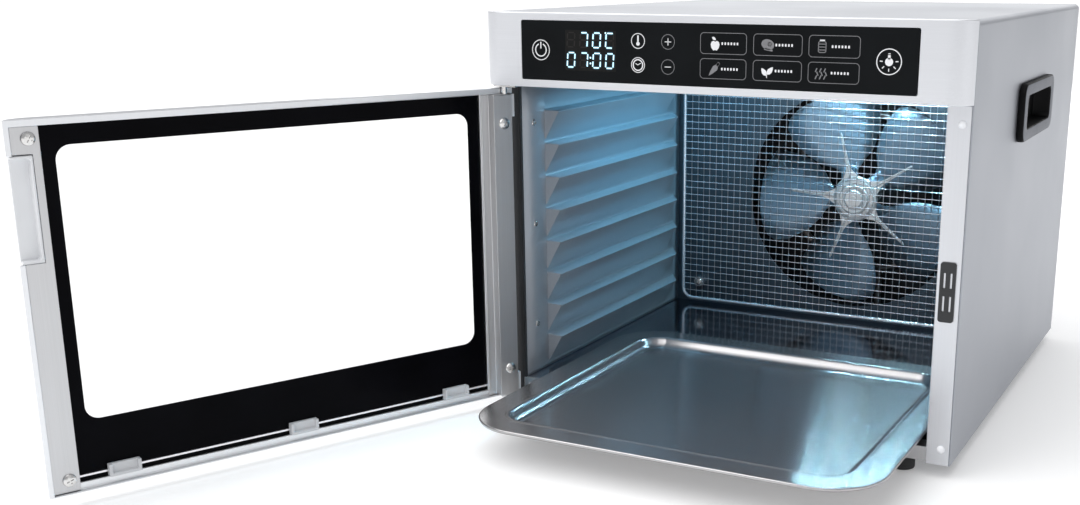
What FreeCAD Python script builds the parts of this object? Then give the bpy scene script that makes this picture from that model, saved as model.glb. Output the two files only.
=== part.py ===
import FreeCAD, Part
import math
import os
from FreeCAD import Vector

# Food dehydrator: a sheet-metal cabinet with a side-hung glass door, a drip tray and a fan behind a wire guard.
# Millimetres, +Z up, front towards -Y. The origin is the middle of the four feet, on the surface they stand on.

# ---- driving dimensions -------------------------------------------------------------------------------------------
cabinet_width = 345.0
cabinet_depth = 386.0
cabinet_height = 283.0            # underside to top, without the feet
foot_height = 9.0
foot_radius = 8.5
foot_screw_radius = 1.75
foot_screw_engage = 4.0
foot_inset_side = 34.0            # side of the cabinet to the foot's centre
foot_inset_end = 20.0             # front or back to the foot's centre

shell_sheet = 1.0
shell_corner = 4.0
liner_sheet = 1.0
base_sheet = 1.2
post_sheet = 1.2

fascia_depth = 9.25               # how far the fascia stands in front of the posts
fascia_edge_run = 15.5            # width of its rounded end
fascia_bottom = 232.4             # above the underside
fascia_wall = 1.5
fascia_skirt = 30.0               # depth of the header box behind the fascia

glass_panel_width = 279.0
glass_panel_height = 39.8
glass_panel_bottom = 237.8
glass_panel_thick = 2.0
glass_panel_gap = 0.2

post_width = 16.2
post_depth = 16.0
left_post_width = 14.2
left_post_front = 23.5            # set back so that the door's hinge edge can swing in front of it
sill_front = 12.8
sill_inset_side = 24.1
sill_left = sill_inset_side - cabinet_width / 2
floor_top = 10.0
ceiling_under = 234.0
liner_inset_side = 15.5           # side of the cabinet to the liner
cavity_half_width = cabinet_width / 2 - liner_inset_side
liner_front = 26.0
liner_screw_depth = 42.5

rib_count = 8
rib_pitch = 24.9
rib_top_nose = 209.4
rib_reach = 12.0
rib_shelf_drop = 1.7
rib_front = 59.0
rib_nose_gap = 29.0               # end of the shelf noses to the baffle
rib_root_gap = 11.0
sheet_shift_side = 1.2
sheet_shift_down = 0.8

baffle_setback = 86.0             # rear of the cabinet to the front of the baffle
baffle_front = cabinet_depth - baffle_setback
rib_rear_nose = baffle_front - rib_nose_gap
rib_rear_root = baffle_front - rib_root_gap
guard_standoff = 7.0
guard_front = baffle_front - guard_standoff
guard_inset_side = 7.5
guard_half_width = cavity_half_width - guard_inset_side
guard_bottom = 13.0
guard_top = 229.0
guard_border_radius = 1.6
guard_corner = 9.0
guard_pitch = 6.0
guard_wire = 0.9
guard_screw_inset = 17.5

fan_x = 11.0
fan_height = 118.0
fan_hole_radius = 96.0
blade_count = 5
blade_tip_radius = 93.0
blade_half_chord = 42.0
blade_root_radius = 17.0
blade_sheet = 1.0
blade_pitch_deg = 18.0
first_blade_deg = 112.0
arm_lag_deg = 7.0
arm_tip_radius = 58.0
hub_radius = 20.0
hub_thick = 2.0
hub_setback = 2.0
hub_front = baffle_front + hub_setback
housing_half_width = 108.0
housing_half_height = 103.0
housing_depth = 47.0
housing_back = baffle_front + housing_depth
shaft_radius = 3.0
shaft_running_gap = 0.05
motor_radius = 31.0
motor_length = 30.0
rotor_radius = 14.0
rotor_gap = 0.6

door_thick = 9.0
door_height = 229.8
door_open_deg = 115.0
hinge_inset = 11.1                # side of the cabinet to the hinge axis
hinge_setback = 10.1              # front face of the fascia to the hinge axis
hinge_pin_radius = 2.0
hinge_running_gap = 0.06
hinge_pin_engage = 9.0
door_opening_inset_left = 29.5
door_opening_inset_right = 19.5
door_opening_left = door_opening_inset_left - cabinet_width / 2
door_opening_right = cabinet_width / 2 - door_opening_inset_right
door_opening_bottom = 5.5
door_opening_top = 225.6
door_floor = 6.0                  # depth of the strips' seat behind the front face
door_glass_front = 0.4
door_glass_thick = 3.0
door_glass_margin = 15.0
window_inset_left = 9.0
window_inset_right = 8.4
window_left = door_opening_left + window_inset_left
window_right = door_opening_right - window_inset_right
window_bottom = 43.8
window_top = 213.0
window_corner = 9.0
mask_thick = 0.3
strip_thick = 1.0
hinge_strip_width = 19.0
hinge_strip_back = 14.0
pull_bottom = 146.0
pull_top = 209.0
pull_width = 14.5
pull_edge_inset = 2.2
pull_wall = 1.4
clip_width = 20.0
clip_centres = (-115.0, 5.0, 125.5)

tray_gap_side = 13.5
tray_gap_rear = 29.0
tray_width = 2 * (cavity_half_width - tray_gap_side)
tray_length = baffle_front - tray_gap_rear
tray_sheet = 0.8
tray_depth = 8.6
tray_rim = 22.0
tray_corner = 40.0
tray_floor_gap = 0.3
tray_x = 10.0
tray_front = -106.0               # front edge of the drawn-out tray, ahead of the fascia when negative

handle_length = 114.0
handle_height = 41.0
handle_lip = 5.0
handle_setback = 181.0            # rear of the cabinet to the middle of the carry handle
handle_centre_depth = cabinet_depth - handle_setback
handle_centre_height = 214.0
handle_mouth_length = 90.0
handle_mouth_height = 23.0
handle_pocket = 9.5
handle_wall = 1.6

screw_head_radius = 4.2
screw_head_height = 2.0
small_head_radius = 2.6
small_head_height = 1.4
door_screw_shank = 1.6
liner_screw_shank = 0.9

half = cabinet_width / 2
front = -cabinet_depth / 2
shapes = {}


# ---- helpers --------------------------------------------------------------------------------------------------------
def at(x, depth, height):
    """Point from x, the depth behind the fascia's front face and the height above the underside."""
    return Vector(x, front + depth, foot_height + height)


def box(x0, x1, y0, y1, z0, z1):
    return Part.makeBox(x1 - x0, y1 - y0, z1 - z0, at(x0, y0, z0))


def rod(radius, length, start, direction):
    return Part.makeCylinder(radius, length, start, direction)


def extrude(points, direction):
    return Part.Face(Part.makePolygon(list(points) + [points[0]])).extrude(direction)


def ring(outer, inner, length, start, direction):
    return rod(outer, length, start, direction).cut(rod(inner, length, start, direction))


def rounded_plate(x0, x1, z0, z1, y0, y1, radius):
    """Plate in the XZ plane with rounded corners."""
    plate = box(x0, x1, y0, y1, z0, z1)
    edges = [e for e in plate.Edges if abs(e.tangentAt(e.FirstParameter).y) > 0.9]
    return plate.makeFillet(radius, edges)


def rounded_slab(x0, x1, y0, y1, z0, z1, radius):
    """Slab lying flat with rounded corners in plan."""
    slab = box(x0, x1, y0, y1, z0, z1)
    edges = [e for e in slab.Edges if abs(e.tangentAt(e.FirstParameter).z) > 0.9]
    return slab.makeFillet(radius, edges)


def fused(pieces):
    whole = pieces[0].fuse(pieces[1:]) if len(pieces) > 1 else pieces[0]
    return whole.removeSplitter()


def group(pieces):
    return Part.makeCompound(pieces)


def mirrored(shape):
    return shape.mirror(Vector(0, 0, 0), Vector(1, 0, 0))


def pan_screw(start, direction, head_radius, head_height, shank_radius, shank_length):
    """Screw whose head starts at the seat and whose shank runs back into the piece."""
    back = Vector(direction) * -1
    head = rod(head_radius, head_height, start, direction)
    rim = [e for e in head.Edges if e.Closed and (e.CenterOfMass - start).dot(direction) > head_height / 2]
    head = head.makeFillet(head_height * 0.45, rim)
    return head.fuse(rod(shank_radius, shank_length, start, back))


# ---- cabinet casing ---------------------------------------------------------------------------------------------------
def make_shell():
    profile_outer = Part.makeBox(cabinet_width, cabinet_depth - fascia_depth, cabinet_height, at(-half, fascia_depth, 0))
    top_edges = [e for e in profile_outer.Edges
                 if abs(e.tangentAt(e.FirstParameter).y) > 0.9 and e.CenterOfMass.z > foot_height + cabinet_height / 2]
    outer = profile_outer.makeFillet(shell_corner, top_edges)
    inner = Part.makeBox(cabinet_width - 2 * shell_sheet, cabinet_depth, cabinet_height - shell_sheet,
                         at(-half + shell_sheet, fascia_depth - 1, 0))
    inner_edges = [e for e in inner.Edges
                   if abs(e.tangentAt(e.FirstParameter).y) > 0.9 and e.CenterOfMass.z > foot_height + cabinet_height / 2]
    shell = outer.cut(inner.makeFillet(shell_corner - shell_sheet, inner_edges))
    shell = shell.cut(box(-half - 1, -half + 5, 0, hinge_setback + hinge_inset, -1, fascia_bottom))
    mouth = handle_opening(handle_length - 6.0, handle_height - 6.0, half - 5, half + 5)
    return shell.cut(mouth).cut(mirrored(mouth))


def handle_opening(length, height, x0, x1):
    """Block through the side with the handle's rounded outline."""
    low = handle_centre_height - height / 2
    block = box(x0, x1, handle_centre_depth - length / 2, handle_centre_depth + length / 2, low, low + height)
    edges = [e for e in block.Edges if abs(e.tangentAt(e.FirstParameter).x) > 0.9]
    return block.makeFillet(min(length, height) * 0.22, edges)


def make_carry_handle():
    lip = handle_opening(handle_length, handle_height, half, half + handle_lip)
    outer_edges = [e for e in lip.Edges if e.BoundBox.XMin > half + handle_lip - 0.01]
    lip = lip.makeFillet(2.4, outer_edges)
    cup = handle_opening(handle_length - 6.4, handle_height - 6.4, half - handle_pocket, half)
    mouth = handle_opening(handle_mouth_length, handle_mouth_height, half - handle_pocket + handle_wall, half + 10)
    return lip.fuse(cup).cut(mouth).removeSplitter()


def make_base():
    pan = box(-half + shell_sheet, half - shell_sheet, left_post_front + post_depth, cabinet_depth - 1.2, 0, base_sheet)
    front_strip = box(sill_left + base_sheet, half - post_width, sill_front + base_sheet,
                      left_post_front + post_depth, 0, base_sheet)
    return fused([pan, front_strip]).cut(foot_screw_holes())


def back_sheet(side_gap, y0, y1, top):
    """Sheet across the inside of the shell, with its top corners rounded to match."""
    sheet = box(-half + shell_sheet + side_gap, half - shell_sheet - side_gap, y0, y1, base_sheet, top)
    corners = [e for e in sheet.Edges if abs(e.tangentAt(e.FirstParameter).y) > 0.9
               and e.CenterOfMass.z > foot_height + cabinet_height / 2]
    return sheet.makeFillet(shell_corner, corners)


def make_rear_panel():
    panel = back_sheet(0.0, cabinet_depth - shell_sheet, cabinet_depth, cabinet_height - shell_sheet - 0.1)
    slots = []
    for row in range(7):
        for side in (-1, 1):
            low = fan_height - 42 + row * 14
            slots.append(box(fan_x + side * 40 - 26, fan_x + side * 40 + 26, cabinet_depth - 3, cabinet_depth + 1,
                             low, low + 5))
    slots.append(inlet_block(0.0))
    return panel.cut(group(slots))


inlet_x = -118.0
inlet_height = 40.0
inlet_half_width = 14.0
inlet_half_height = 10.0


def inlet_block(margin):
    return box(inlet_x - inlet_half_width - margin, inlet_x + inlet_half_width + margin, cabinet_depth - 20,
               cabinet_depth + 1, inlet_height - inlet_half_height - margin, inlet_height + inlet_half_height + margin)


def make_inlet():
    body = box(inlet_x - inlet_half_width + 0.2, inlet_x + inlet_half_width - 0.2, cabinet_depth - 18, cabinet_depth,
               inlet_height - inlet_half_height + 0.2, inlet_height + inlet_half_height - 0.2)
    flange = rounded_plate(inlet_x - inlet_half_width - 4, inlet_x + inlet_half_width + 4,
                           inlet_height - inlet_half_height - 4, inlet_height + inlet_half_height + 4,
                           cabinet_depth, cabinet_depth + 2, 3.0)
    socket = rounded_plate(inlet_x - 11, inlet_x + 11, inlet_height - 7.5, inlet_height + 7.5, cabinet_depth - 14,
                           cabinet_depth + 3, 3.0)
    pins = []
    for offset, rise in ((-6.5, -1.5), (0.0, 2.5), (6.5, -1.5)):
        pins.append(box(inlet_x + offset - 1, inlet_x + offset + 1, cabinet_depth - 15, cabinet_depth - 3,
                        inlet_height + rise - 2, inlet_height + rise + 2))
    return body.fuse(flange).cut(socket).fuse(pins).removeSplitter()


def fascia_profile(inset, depth, back):
    """Plan outline of a front panel whose ends curve back over depth, offset inwards by inset."""
    flat = half - fascia_edge_run
    radius = (fascia_edge_run ** 2 + depth ** 2) / (2 * depth)
    sweep = math.asin(fascia_edge_run / radius)
    points = []
    for side in (1, -1):
        arc = []
        for fraction in (0.0, 0.5, 1.0):
            angle = sweep * fraction
            arc.append(Vector(side * (flat + (radius - inset) * math.sin(angle)), front + radius
                              - (radius - inset) * math.cos(angle), 0))
        points.append(arc)
    right, left = points
    back_right = Vector(right[2].x, front + back, 0)
    back_left = Vector(left[2].x, front + back, 0)
    edges = [Part.LineSegment(left[0], right[0]).toShape(), Part.Arc(*right).toShape()]
    if abs(back_right.y - right[2].y) > 1e-6:
        edges += [Part.LineSegment(right[2], back_right).toShape()]
    edges += [Part.LineSegment(back_right, back_left).toShape()]
    if abs(back_left.y - left[2].y) > 1e-6:
        edges += [Part.LineSegment(back_left, left[2]).toShape()]
    edges += [Part.Arc(left[2], left[1], left[0]).toShape()]
    return Part.Face(Part.Wire(Part.__sortEdges__(edges)))


def prism(face, low, high):
    solid = face.extrude(Vector(0, 0, high - low))
    solid.translate(Vector(0, 0, foot_height + low))
    return solid


def make_fascia():
    body = prism(fascia_profile(0, fascia_depth, fascia_depth), fascia_bottom, cabinet_height)
    hollow = prism(fascia_profile(fascia_wall, fascia_depth, fascia_depth + 1), fascia_bottom + fascia_wall,
                   cabinet_height - fascia_wall)
    body = body.cut(hollow)
    shelf = box(-half + post_width, half - post_width, fascia_depth - 0.01, fascia_skirt, fascia_bottom,
                fascia_bottom + fascia_wall)
    body = body.fuse(shelf)
    window = rounded_plate(-glass_panel_width / 2 - glass_panel_gap, glass_panel_width / 2 + glass_panel_gap,
                           glass_panel_bottom - glass_panel_gap,
                           glass_panel_bottom + glass_panel_height + glass_panel_gap, -1, 5, 1.2)
    return body.cut(window).removeSplitter()


def make_control_glass():
    return rounded_plate(-glass_panel_width / 2, glass_panel_width / 2, glass_panel_bottom,
                         glass_panel_bottom + glass_panel_height, -0.3, glass_panel_thick - 0.3, 1.0)


display_left = -105.0
display_right = -65.5
display_bottom = 244.5
display_top = 272.0


def make_display():
    return box(display_left, display_right, glass_panel_thick - 0.3, glass_panel_thick + 3.2, display_bottom,
               display_top)


def make_control_board():
    board = box(-132, 132, glass_panel_thick + 3.2, glass_panel_thick + 4.8, glass_panel_bottom + 2,
                glass_panel_bottom + glass_panel_height - 2)
    chips = []
    for x in (-30, 20, 80):
        chips.append(box(x, x + 12, glass_panel_thick + 4.8, glass_panel_thick + 7.0, 252, 262))
    for x in (-110, 110):
        chips.append(box(x, x + 8, glass_panel_thick + 3.2, glass_panel_thick + 4.8, fascia_bottom + fascia_wall,
                         glass_panel_bottom + 2))
    return fused([board] + chips)


def post_channel(x0, x1, y0, top):
    """Folded post, open to the rear."""
    outer = box(x0, x1, y0, y0 + post_depth, 0, top)
    inner = box(x0 + post_sheet, x1 - post_sheet, y0 + post_sheet, y0 + post_depth + 1, post_sheet, top - post_sheet)
    return outer.cut(inner)


def make_right_post():
    return post_channel(half - post_width, half - shell_sheet, fascia_depth, fascia_bottom - 0.1)


def make_left_post():
    return post_channel(-half + shell_sheet, -half + left_post_width, left_post_front, fascia_bottom - 0.1)


def make_post_gasket():
    return box(-half + left_post_width, -half + post_width, left_post_front, left_post_front + 2.3, floor_top,
               fascia_bottom - 1)


def make_sill():
    """Front sill, stepped back at its hinged end so that the door's hinge strip can swing past."""
    back = left_post_front
    left = -half + left_post_width
    face = box(sill_left, half - post_width, sill_front, sill_front + base_sheet, 0, floor_top)
    cheek = box(sill_left, sill_left + base_sheet, sill_front, back + base_sheet, 0, floor_top)
    step = box(left, sill_left, back, back + base_sheet, 0, floor_top)
    lap = box(sill_left, half - post_width, sill_front + base_sheet, liner_front, floor_top - base_sheet, floor_top)
    corner = box(left, sill_left, back, liner_front, floor_top - base_sheet, floor_top)
    return fused([face, cheek, step, lap, corner])


# ---- cavity -----------------------------------------------------------------------------------------------------------
def rib_outline():
    """Ratchet profile of the side wall from the bottom rib's root to the top rib's root, as (reach, height)."""
    outline = []
    for index in range(rib_count):
        nose = rib_top_nose - (rib_count - 1 - index) * rib_pitch
        root = nose - (rib_pitch - rib_shelf_drop - 1.5)
        outline.append((0.0, root))
        outline.append((rib_reach, nose))
        outline.append((0.0, nose + rib_shelf_drop))
    return outline


def make_left_liner():
    wall = -cavity_half_width
    outline = rib_outline()
    low = outline[0][1]
    high = outline[-1][1]
    cavity_side = [at(wall + reach, rib_front, height) for reach, height in outline]
    hidden_side = [Vector(p.x - sheet_shift_side, p.y, p.z - sheet_shift_down) for p in cavity_side]
    length = rib_rear_nose - rib_front
    sheet = extrude(cavity_side + hidden_side[::-1], Vector(0, length, 0))
    pieces = [sheet]
    for index in range(rib_count):
        root = outline[3 * index]
        nose = outline[3 * index + 1]
        seat = outline[3 * index + 2]
        cap = [(-sheet_shift_side, root[1]), root, nose, seat, (-sheet_shift_side, seat[1])]
        corners = [at(wall + reach, rib_front, height) for reach, height in cap]
        pieces.append(extrude(corners, Vector(0, liner_sheet, 0)))
        rear = [at(wall + reach, rib_rear_nose, height) for reach, height in (root, nose, seat)]
        tail = extrude(rear, Vector(0, rib_rear_root - rib_rear_nose, 0))
        bevel = extrude([at(wall, rib_rear_root, -1), at(wall + rib_reach + 2, rib_rear_root, -1),
                         at(wall + rib_reach + 2, rib_rear_nose, -1), at(wall + rib_reach, rib_rear_nose, -1)],
                        Vector(0, 0, ceiling_under + 2))
        pieces.append(tail.cut(bevel))
    back = wall - sheet_shift_side
    margin = box(back, wall, liner_front, rib_front, floor_top, ceiling_under)
    for depth, height in liner_screw_places():
        margin = margin.cut(rod(liner_screw_shank, 4, at(wall - 3, depth, height), Vector(1, 0, 0)))
    pieces.append(margin)
    pieces.append(box(back, wall, rib_rear_nose, baffle_front, floor_top, ceiling_under))
    pieces.append(box(back, wall, rib_front, rib_rear_nose, floor_top, low))
    pieces.append(box(back, wall, rib_front, rib_rear_nose, high - sheet_shift_down, ceiling_under))
    return fused(pieces)


def make_ceiling():
    lamp_hole = box(lamp_x - lamp_half_x, lamp_x + lamp_half_x, lamp_depth - lamp_half_y, lamp_depth + lamp_half_y,
                    ceiling_under - 5, ceiling_under + 5)
    back = cavity_half_width + sheet_shift_side
    sheet = box(-back, back, fascia_skirt, baffle_front, ceiling_under, ceiling_under + liner_sheet)
    return sheet.cut(lamp_hole)


def make_floor():
    return box(-cavity_half_width, cavity_half_width, liner_front, baffle_front, floor_top - liner_sheet, floor_top)


def make_baffle():
    plate = back_sheet(0.2, baffle_front, baffle_front + liner_sheet, cabinet_height - shell_sheet - 0.2)
    hole = rod(fan_hole_radius, 6, at(fan_x, baffle_front - 2, fan_height), Vector(0, 1, 0))
    bush = rod(probe_radius, 6, at(probe_x, baffle_front - 2, probe_height), Vector(0, 1, 0))
    return plate.cut(hole).cut(bush)


probe_radius = 2.0
probe_x = -126.0
probe_height = 206.0


def make_guard_frame():
    """Border wire bent into a rounded rectangle."""
    x1 = guard_half_width - guard_border_radius
    z0 = guard_bottom + guard_border_radius
    z1 = guard_top - guard_border_radius
    y = guard_front
    r = guard_corner
    s = r * (1 - math.sqrt(0.5))
    edges = []
    corners = [(-x1, z0, 1, 1), (x1, z0, -1, 1), (x1, z1, -1, -1), (-x1, z1, 1, -1)]
    tangent_points = []
    for index, (x, z, sx, sz) in enumerate(corners):
        along_x = at(x + sx * r, y, z)
        along_z = at(x, y, z + sz * r)
        middle = at(x + sx * s, y, z + sz * s)
        first, last = (along_z, along_x) if index % 2 == 0 else (along_x, along_z)
        tangent_points.append((first, middle, last))
    for index, (first, middle, last) in enumerate(tangent_points):
        edges.append(Part.Arc(first, middle, last).toShape())
        following = tangent_points[(index + 1) % 4][0]
        edges.append(Part.LineSegment(last, following).toShape())
    path = Part.Wire(edges)
    start = tangent_points[0][2]
    section = Part.Wire(Part.Circle(start, Vector(1, 0, 0), guard_border_radius).toShape())
    path = Part.Wire(edges[1:] + edges[:1])
    return path.makePipeShell([section], True, True)


def make_guard_mesh():
    """Square wires in two layers inside the border wire, each its own solid."""
    wires = []
    inner_x = guard_half_width - 2 * guard_border_radius
    inner_low = guard_bottom + 2 * guard_border_radius
    inner_high = guard_top - 2 * guard_border_radius
    corner_cut = guard_corner * 0.35
    rows = int((inner_high - inner_low) / guard_pitch)
    columns = int(2 * inner_x / guard_pitch)
    row_start = (inner_high + inner_low - (rows - 1) * guard_pitch) / 2
    column_start = -(columns - 1) * guard_pitch / 2
    y = guard_front - guard_wire
    for row in range(rows):
        z = row_start + row * guard_pitch - guard_wire / 2
        trim = corner_cut if row in (0, rows - 1) else 0.0
        wires.append(box(-inner_x + trim, inner_x - trim, y, y + guard_wire, z, z + guard_wire))
    for column in range(columns):
        x = column_start + column * guard_pitch - guard_wire / 2
        trim = corner_cut if column in (0, columns - 1) else 0.0
        wires.append(box(x, x + guard_wire, y + guard_wire, y + 2 * guard_wire, inner_low + trim, inner_high - trim))
    return group(wires)


def guard_screw_places():
    x = guard_half_width - guard_screw_inset
    return [(sx * x, z) for sx in (-1, 1) for z in (guard_bottom + guard_screw_inset, guard_top - guard_screw_inset)]


def make_guard_spacers():
    """Collars that hold the guard off the baffle."""
    collars = []
    for x, z in guard_screw_places():
        collars.append(ring(4.6, 1.7, baffle_front - guard_front - guard_wire, at(x, guard_front + guard_wire, z),
                            Vector(0, 1, 0)))
    return group(collars)


def make_guard_screws():
    screws = []
    for x, z in guard_screw_places():
        seat = at(x, guard_front - guard_wire, z)
        washer = rod(4.6, 0.6, seat, Vector(0, -1, 0))
        screw = pan_screw(seat + Vector(0, -0.6, 0), Vector(0, -1, 0), 3.2, small_head_height, 1.0, 0.6)
        screws.append(washer.fuse(screw).removeSplitter())
    return group(screws)


lamp_x = 118.0
lamp_depth = 75.0
lamp_half_x = 17.0
lamp_half_y = 10.0


def make_lamp():
    base = box(lamp_x - lamp_half_x + 1.5, lamp_x + lamp_half_x - 1.5, lamp_depth - lamp_half_y + 1.5,
               lamp_depth + lamp_half_y - 1.5, ceiling_under + 4, ceiling_under + 10)
    leds = []
    for offset in (-9, -3, 3, 9):
        leds.append(box(lamp_x + offset - 1.4, lamp_x + offset + 1.4, lamp_depth - 1.4, lamp_depth + 1.4,
                        ceiling_under + 2, ceiling_under + 4))
    return fused([base] + leds)


def make_lamp_lens():
    lens = rounded_slab(lamp_x - lamp_half_x + 0.1, lamp_x + lamp_half_x - 0.1, lamp_depth - lamp_half_y + 0.1,
                        lamp_depth + lamp_half_y - 0.1, ceiling_under - 1.2, ceiling_under + 2.0, 2.5)
    flange = rounded_slab(lamp_x - lamp_half_x - 2, lamp_x + lamp_half_x + 2, lamp_depth - lamp_half_y - 2,
                          lamp_depth + lamp_half_y + 2, ceiling_under - 1.8, ceiling_under - 0.6, 4.0)
    return fused([lens, flange])


def make_probe():
    """Temperature probe that stands in a hole through the baffle, with a collar behind it."""
    tip = at(probe_x, baffle_front - 5.0, probe_height)
    collar = rod(4.0, 2.0, at(probe_x, baffle_front + liner_sheet, probe_height), Vector(0, 1, 0))
    return fused([rod(probe_radius, 22.0, tip, Vector(0, 1, 0)), collar])


# ---- fan, motor and heater --------------------------------------------------------------------------------------------
def make_housing():
    y0 = baffle_front + liner_sheet
    outer = box(fan_x - housing_half_width, fan_x + housing_half_width, y0, housing_back,
                fan_height - housing_half_height, fan_height + housing_half_height)
    inner = box(fan_x - housing_half_width + 1, fan_x + housing_half_width - 1, y0 - 1, housing_back - 1,
                fan_height - housing_half_height + 1, fan_height + housing_half_height - 1)
    shaft_hole = rod(12, 20, at(fan_x, housing_back - 10, fan_height), Vector(0, 1, 0))
    return outer.cut(inner).cut(shaft_hole)


heater_radius = 70.0
heater_tube = 3.1
heater_setback = 40.4
heater_depth = baffle_front + heater_setback


def make_heater():
    """Sheathed ring with two straight tails that leave through the housing's side."""
    centre = at(fan_x, heater_depth, fan_height)
    torus = Part.makeTorus(heater_radius, heater_tube, centre, Vector(0, 1, 0))
    tails = []
    for offset in (-14, 14):
        reach = math.sqrt(heater_radius ** 2 - offset ** 2)
        tails.append(rod(heater_tube, housing_half_height - 1 - reach, at(fan_x + offset, heater_depth,
                         fan_height - reach), Vector(0, 0, -1)))
    gap = box(fan_x - 10, fan_x + 10, heater_depth - 10, heater_depth + 10, fan_height - heater_radius - 8,
              fan_height - heater_radius + 8)
    return torus.cut(gap).fuse(tails).removeSplitter()


def make_heater_clips():
    clips = []
    for angle in (30, 150, 270 - 35, 270 + 35):
        x = fan_x + heater_radius * math.cos(math.radians(angle))
        z = fan_height + heater_radius * math.sin(math.radians(angle))
        clips.append(box(x - 2.5, x + 2.5, heater_depth + heater_tube, housing_back - 1, z - 2.5, z + 2.5))
    return group(clips)


def make_motor_body():
    y0 = housing_back
    shell = rod(motor_radius, motor_length, at(fan_x, y0, fan_height), Vector(0, 1, 0))
    chamber = rod(rotor_radius + rotor_gap, motor_length - 6, at(fan_x, y0 + 3, fan_height), Vector(0, 1, 0))
    bore = rod(6.0, motor_length + 2, at(fan_x, y0 - 1, fan_height), Vector(0, 1, 0))
    ears = []
    for side in (-1, 1):
        ears.append(box(fan_x + side * 38 - 8, fan_x + side * 38 + 8, y0, y0 + 2.5, fan_height - 9, fan_height + 9))
    return fused([shell] + ears).cut(chamber).cut(bore)


def make_motor_bearings():
    y0 = housing_back
    pieces = []
    for start in (y0, y0 + motor_length - 3):
        pieces.append(ring(6.0, shaft_radius + shaft_running_gap, 3, at(fan_x, start, fan_height), Vector(0, 1, 0)))
    return group(pieces)


def make_motor_screws():
    screws = []
    for side in (-1, 1):
        seat = at(fan_x + side * 41, housing_back + 2.5, fan_height)
        screws.append(rod(3.6, 2.4, seat, Vector(0, 1, 0)))
    return group(screws)


def make_shaft():
    start = at(fan_x, hub_front - 5.5, fan_height)
    return rod(shaft_radius, housing_back + motor_length - 0.5 - (hub_front - 5.5), start, Vector(0, 1, 0))


def make_rotor():
    y0 = housing_back + 4
    return ring(rotor_radius, shaft_radius, motor_length - 8, at(fan_x, y0, fan_height), Vector(0, 1, 0))


def make_hub_cap():
    """Stepped boss of concentric rings in front of the spider."""
    centre = at(fan_x, hub_front, fan_height)
    steps = [rod(17.5, 2.0, centre, Vector(0, -1, 0)), rod(12.5, 3.2, centre, Vector(0, -1, 0)),
             rod(8.0, 4.4, centre, Vector(0, -1, 0))]
    bore = rod(shaft_radius, 20, centre + Vector(0, 5, 0), Vector(0, -1, 0))
    groove = ring(15.6, 14.2, 1.0, centre + Vector(0, -2.0, 0), Vector(0, 1, 0))
    return fused(steps).cut(bore).cut(groove)


def make_spider():
    """Hub disc with one narrow arm along each blade."""
    centre = at(fan_x, hub_front, fan_height)
    disc = rod(hub_radius, hub_thick, centre, Vector(0, 1, 0))
    pieces = [disc]
    for index in range(blade_count):
        turn = first_blade_deg - arm_lag_deg + index * 360.0 / blade_count
        arm = extrude([Vector(hub_radius - 4, 0, -6.5), Vector(arm_tip_radius, 0, -2.0),
                       Vector(arm_tip_radius + 1.5, 0, 0), Vector(arm_tip_radius, 0, 2.0),
                       Vector(hub_radius - 4, 0, 6.5)], Vector(0, hub_thick, 0))
        arm.rotate(Vector(0, 0, 0), Vector(0, -1, 0), turn)
        arm.translate(centre)
        pieces.append(arm)
    return fused(pieces).cut(rod(shaft_radius, 20, centre + Vector(0, -5, 0), Vector(0, 1, 0)))


def blade_outline():
    """Paddle outline in the blade's own plane, as (radius outwards, chord across)."""
    shares = [(0.26, -0.19), (0.30, -0.32), (0.38, -0.57), (0.51, -0.79), (0.66, -0.92), (0.80, -1.0), (0.88, -0.99),
              (0.95, -0.71), (0.99, -0.33), (1.0, 0.05), (0.99, 0.38), (0.96, 0.67), (0.91, 0.86), (0.83, 0.96),
              (0.71, 0.94), (0.58, 0.81), (0.47, 0.67), (0.39, 0.49), (0.32, 0.29), (0.26, 0.19)]
    return [(radius * blade_tip_radius, chord * blade_half_chord) for radius, chord in shares]


def make_blades():
    """Five pitched paddles that hang behind the spider."""
    centre = at(fan_x, hub_front + hub_thick, fan_height)
    blades = []
    for index in range(blade_count):
        points = [Vector(r, 0, c) for r, c in blade_outline()]
        curve = Part.BSplineCurve()
        curve.interpolate(points)
        wire = Part.Wire([curve.toShape(), Part.LineSegment(points[-1], points[0]).toShape()])
        blade = Part.Face(wire).extrude(Vector(0, blade_sheet, 0))
        blade.rotate(Vector(0, 0, 0), Vector(1, 0, 0), blade_pitch_deg)
        lift = blade_half_chord * math.sin(math.radians(blade_pitch_deg)) + 1.0
        blade.translate(Vector(0, lift, 0))
        root = Part.makeBox(34, 1.0, 10, Vector(blade_root_radius - 12, 0, -5))
        stem = Part.makeBox(8, lift + 1.5, 10, Vector(blade_root_radius + 10, 0, -5))
        blade = blade.fuse([root, stem]).removeSplitter()
        blade.rotate(Vector(0, 0, 0), Vector(0, -1, 0), first_blade_deg + index * 360.0 / blade_count)
        blade.translate(centre)
        blades.append(blade)
    return group(blades)


# ---- electrics ----------------------------------------------------------------------------------------------------------
def make_power_board():
    board = box(-150, -108, baffle_front + 6, baffle_front + 7.6, 80, 180)
    parts = []
    for low, tall, deep in ((86, 22, 18), (114, 16, 24), (136, 30, 14)):
        parts.append(box(-145, -113, baffle_front + 7.6, baffle_front + 7.6 + deep, low, low + tall))
    feet = [box(-150, -146, baffle_front + liner_sheet, baffle_front + 6, z, z + 4) for z in (82, 174)]
    return fused([board] + parts + feet)


def make_cutout():
    body = rod(8.0, 7.0, at(fan_x + 60, housing_back, fan_height + 80), Vector(0, 1, 0))
    return fused([body, box(fan_x + 48, fan_x + 72, housing_back, housing_back + 1.0, fan_height + 76,
                            fan_height + 84)])


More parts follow.
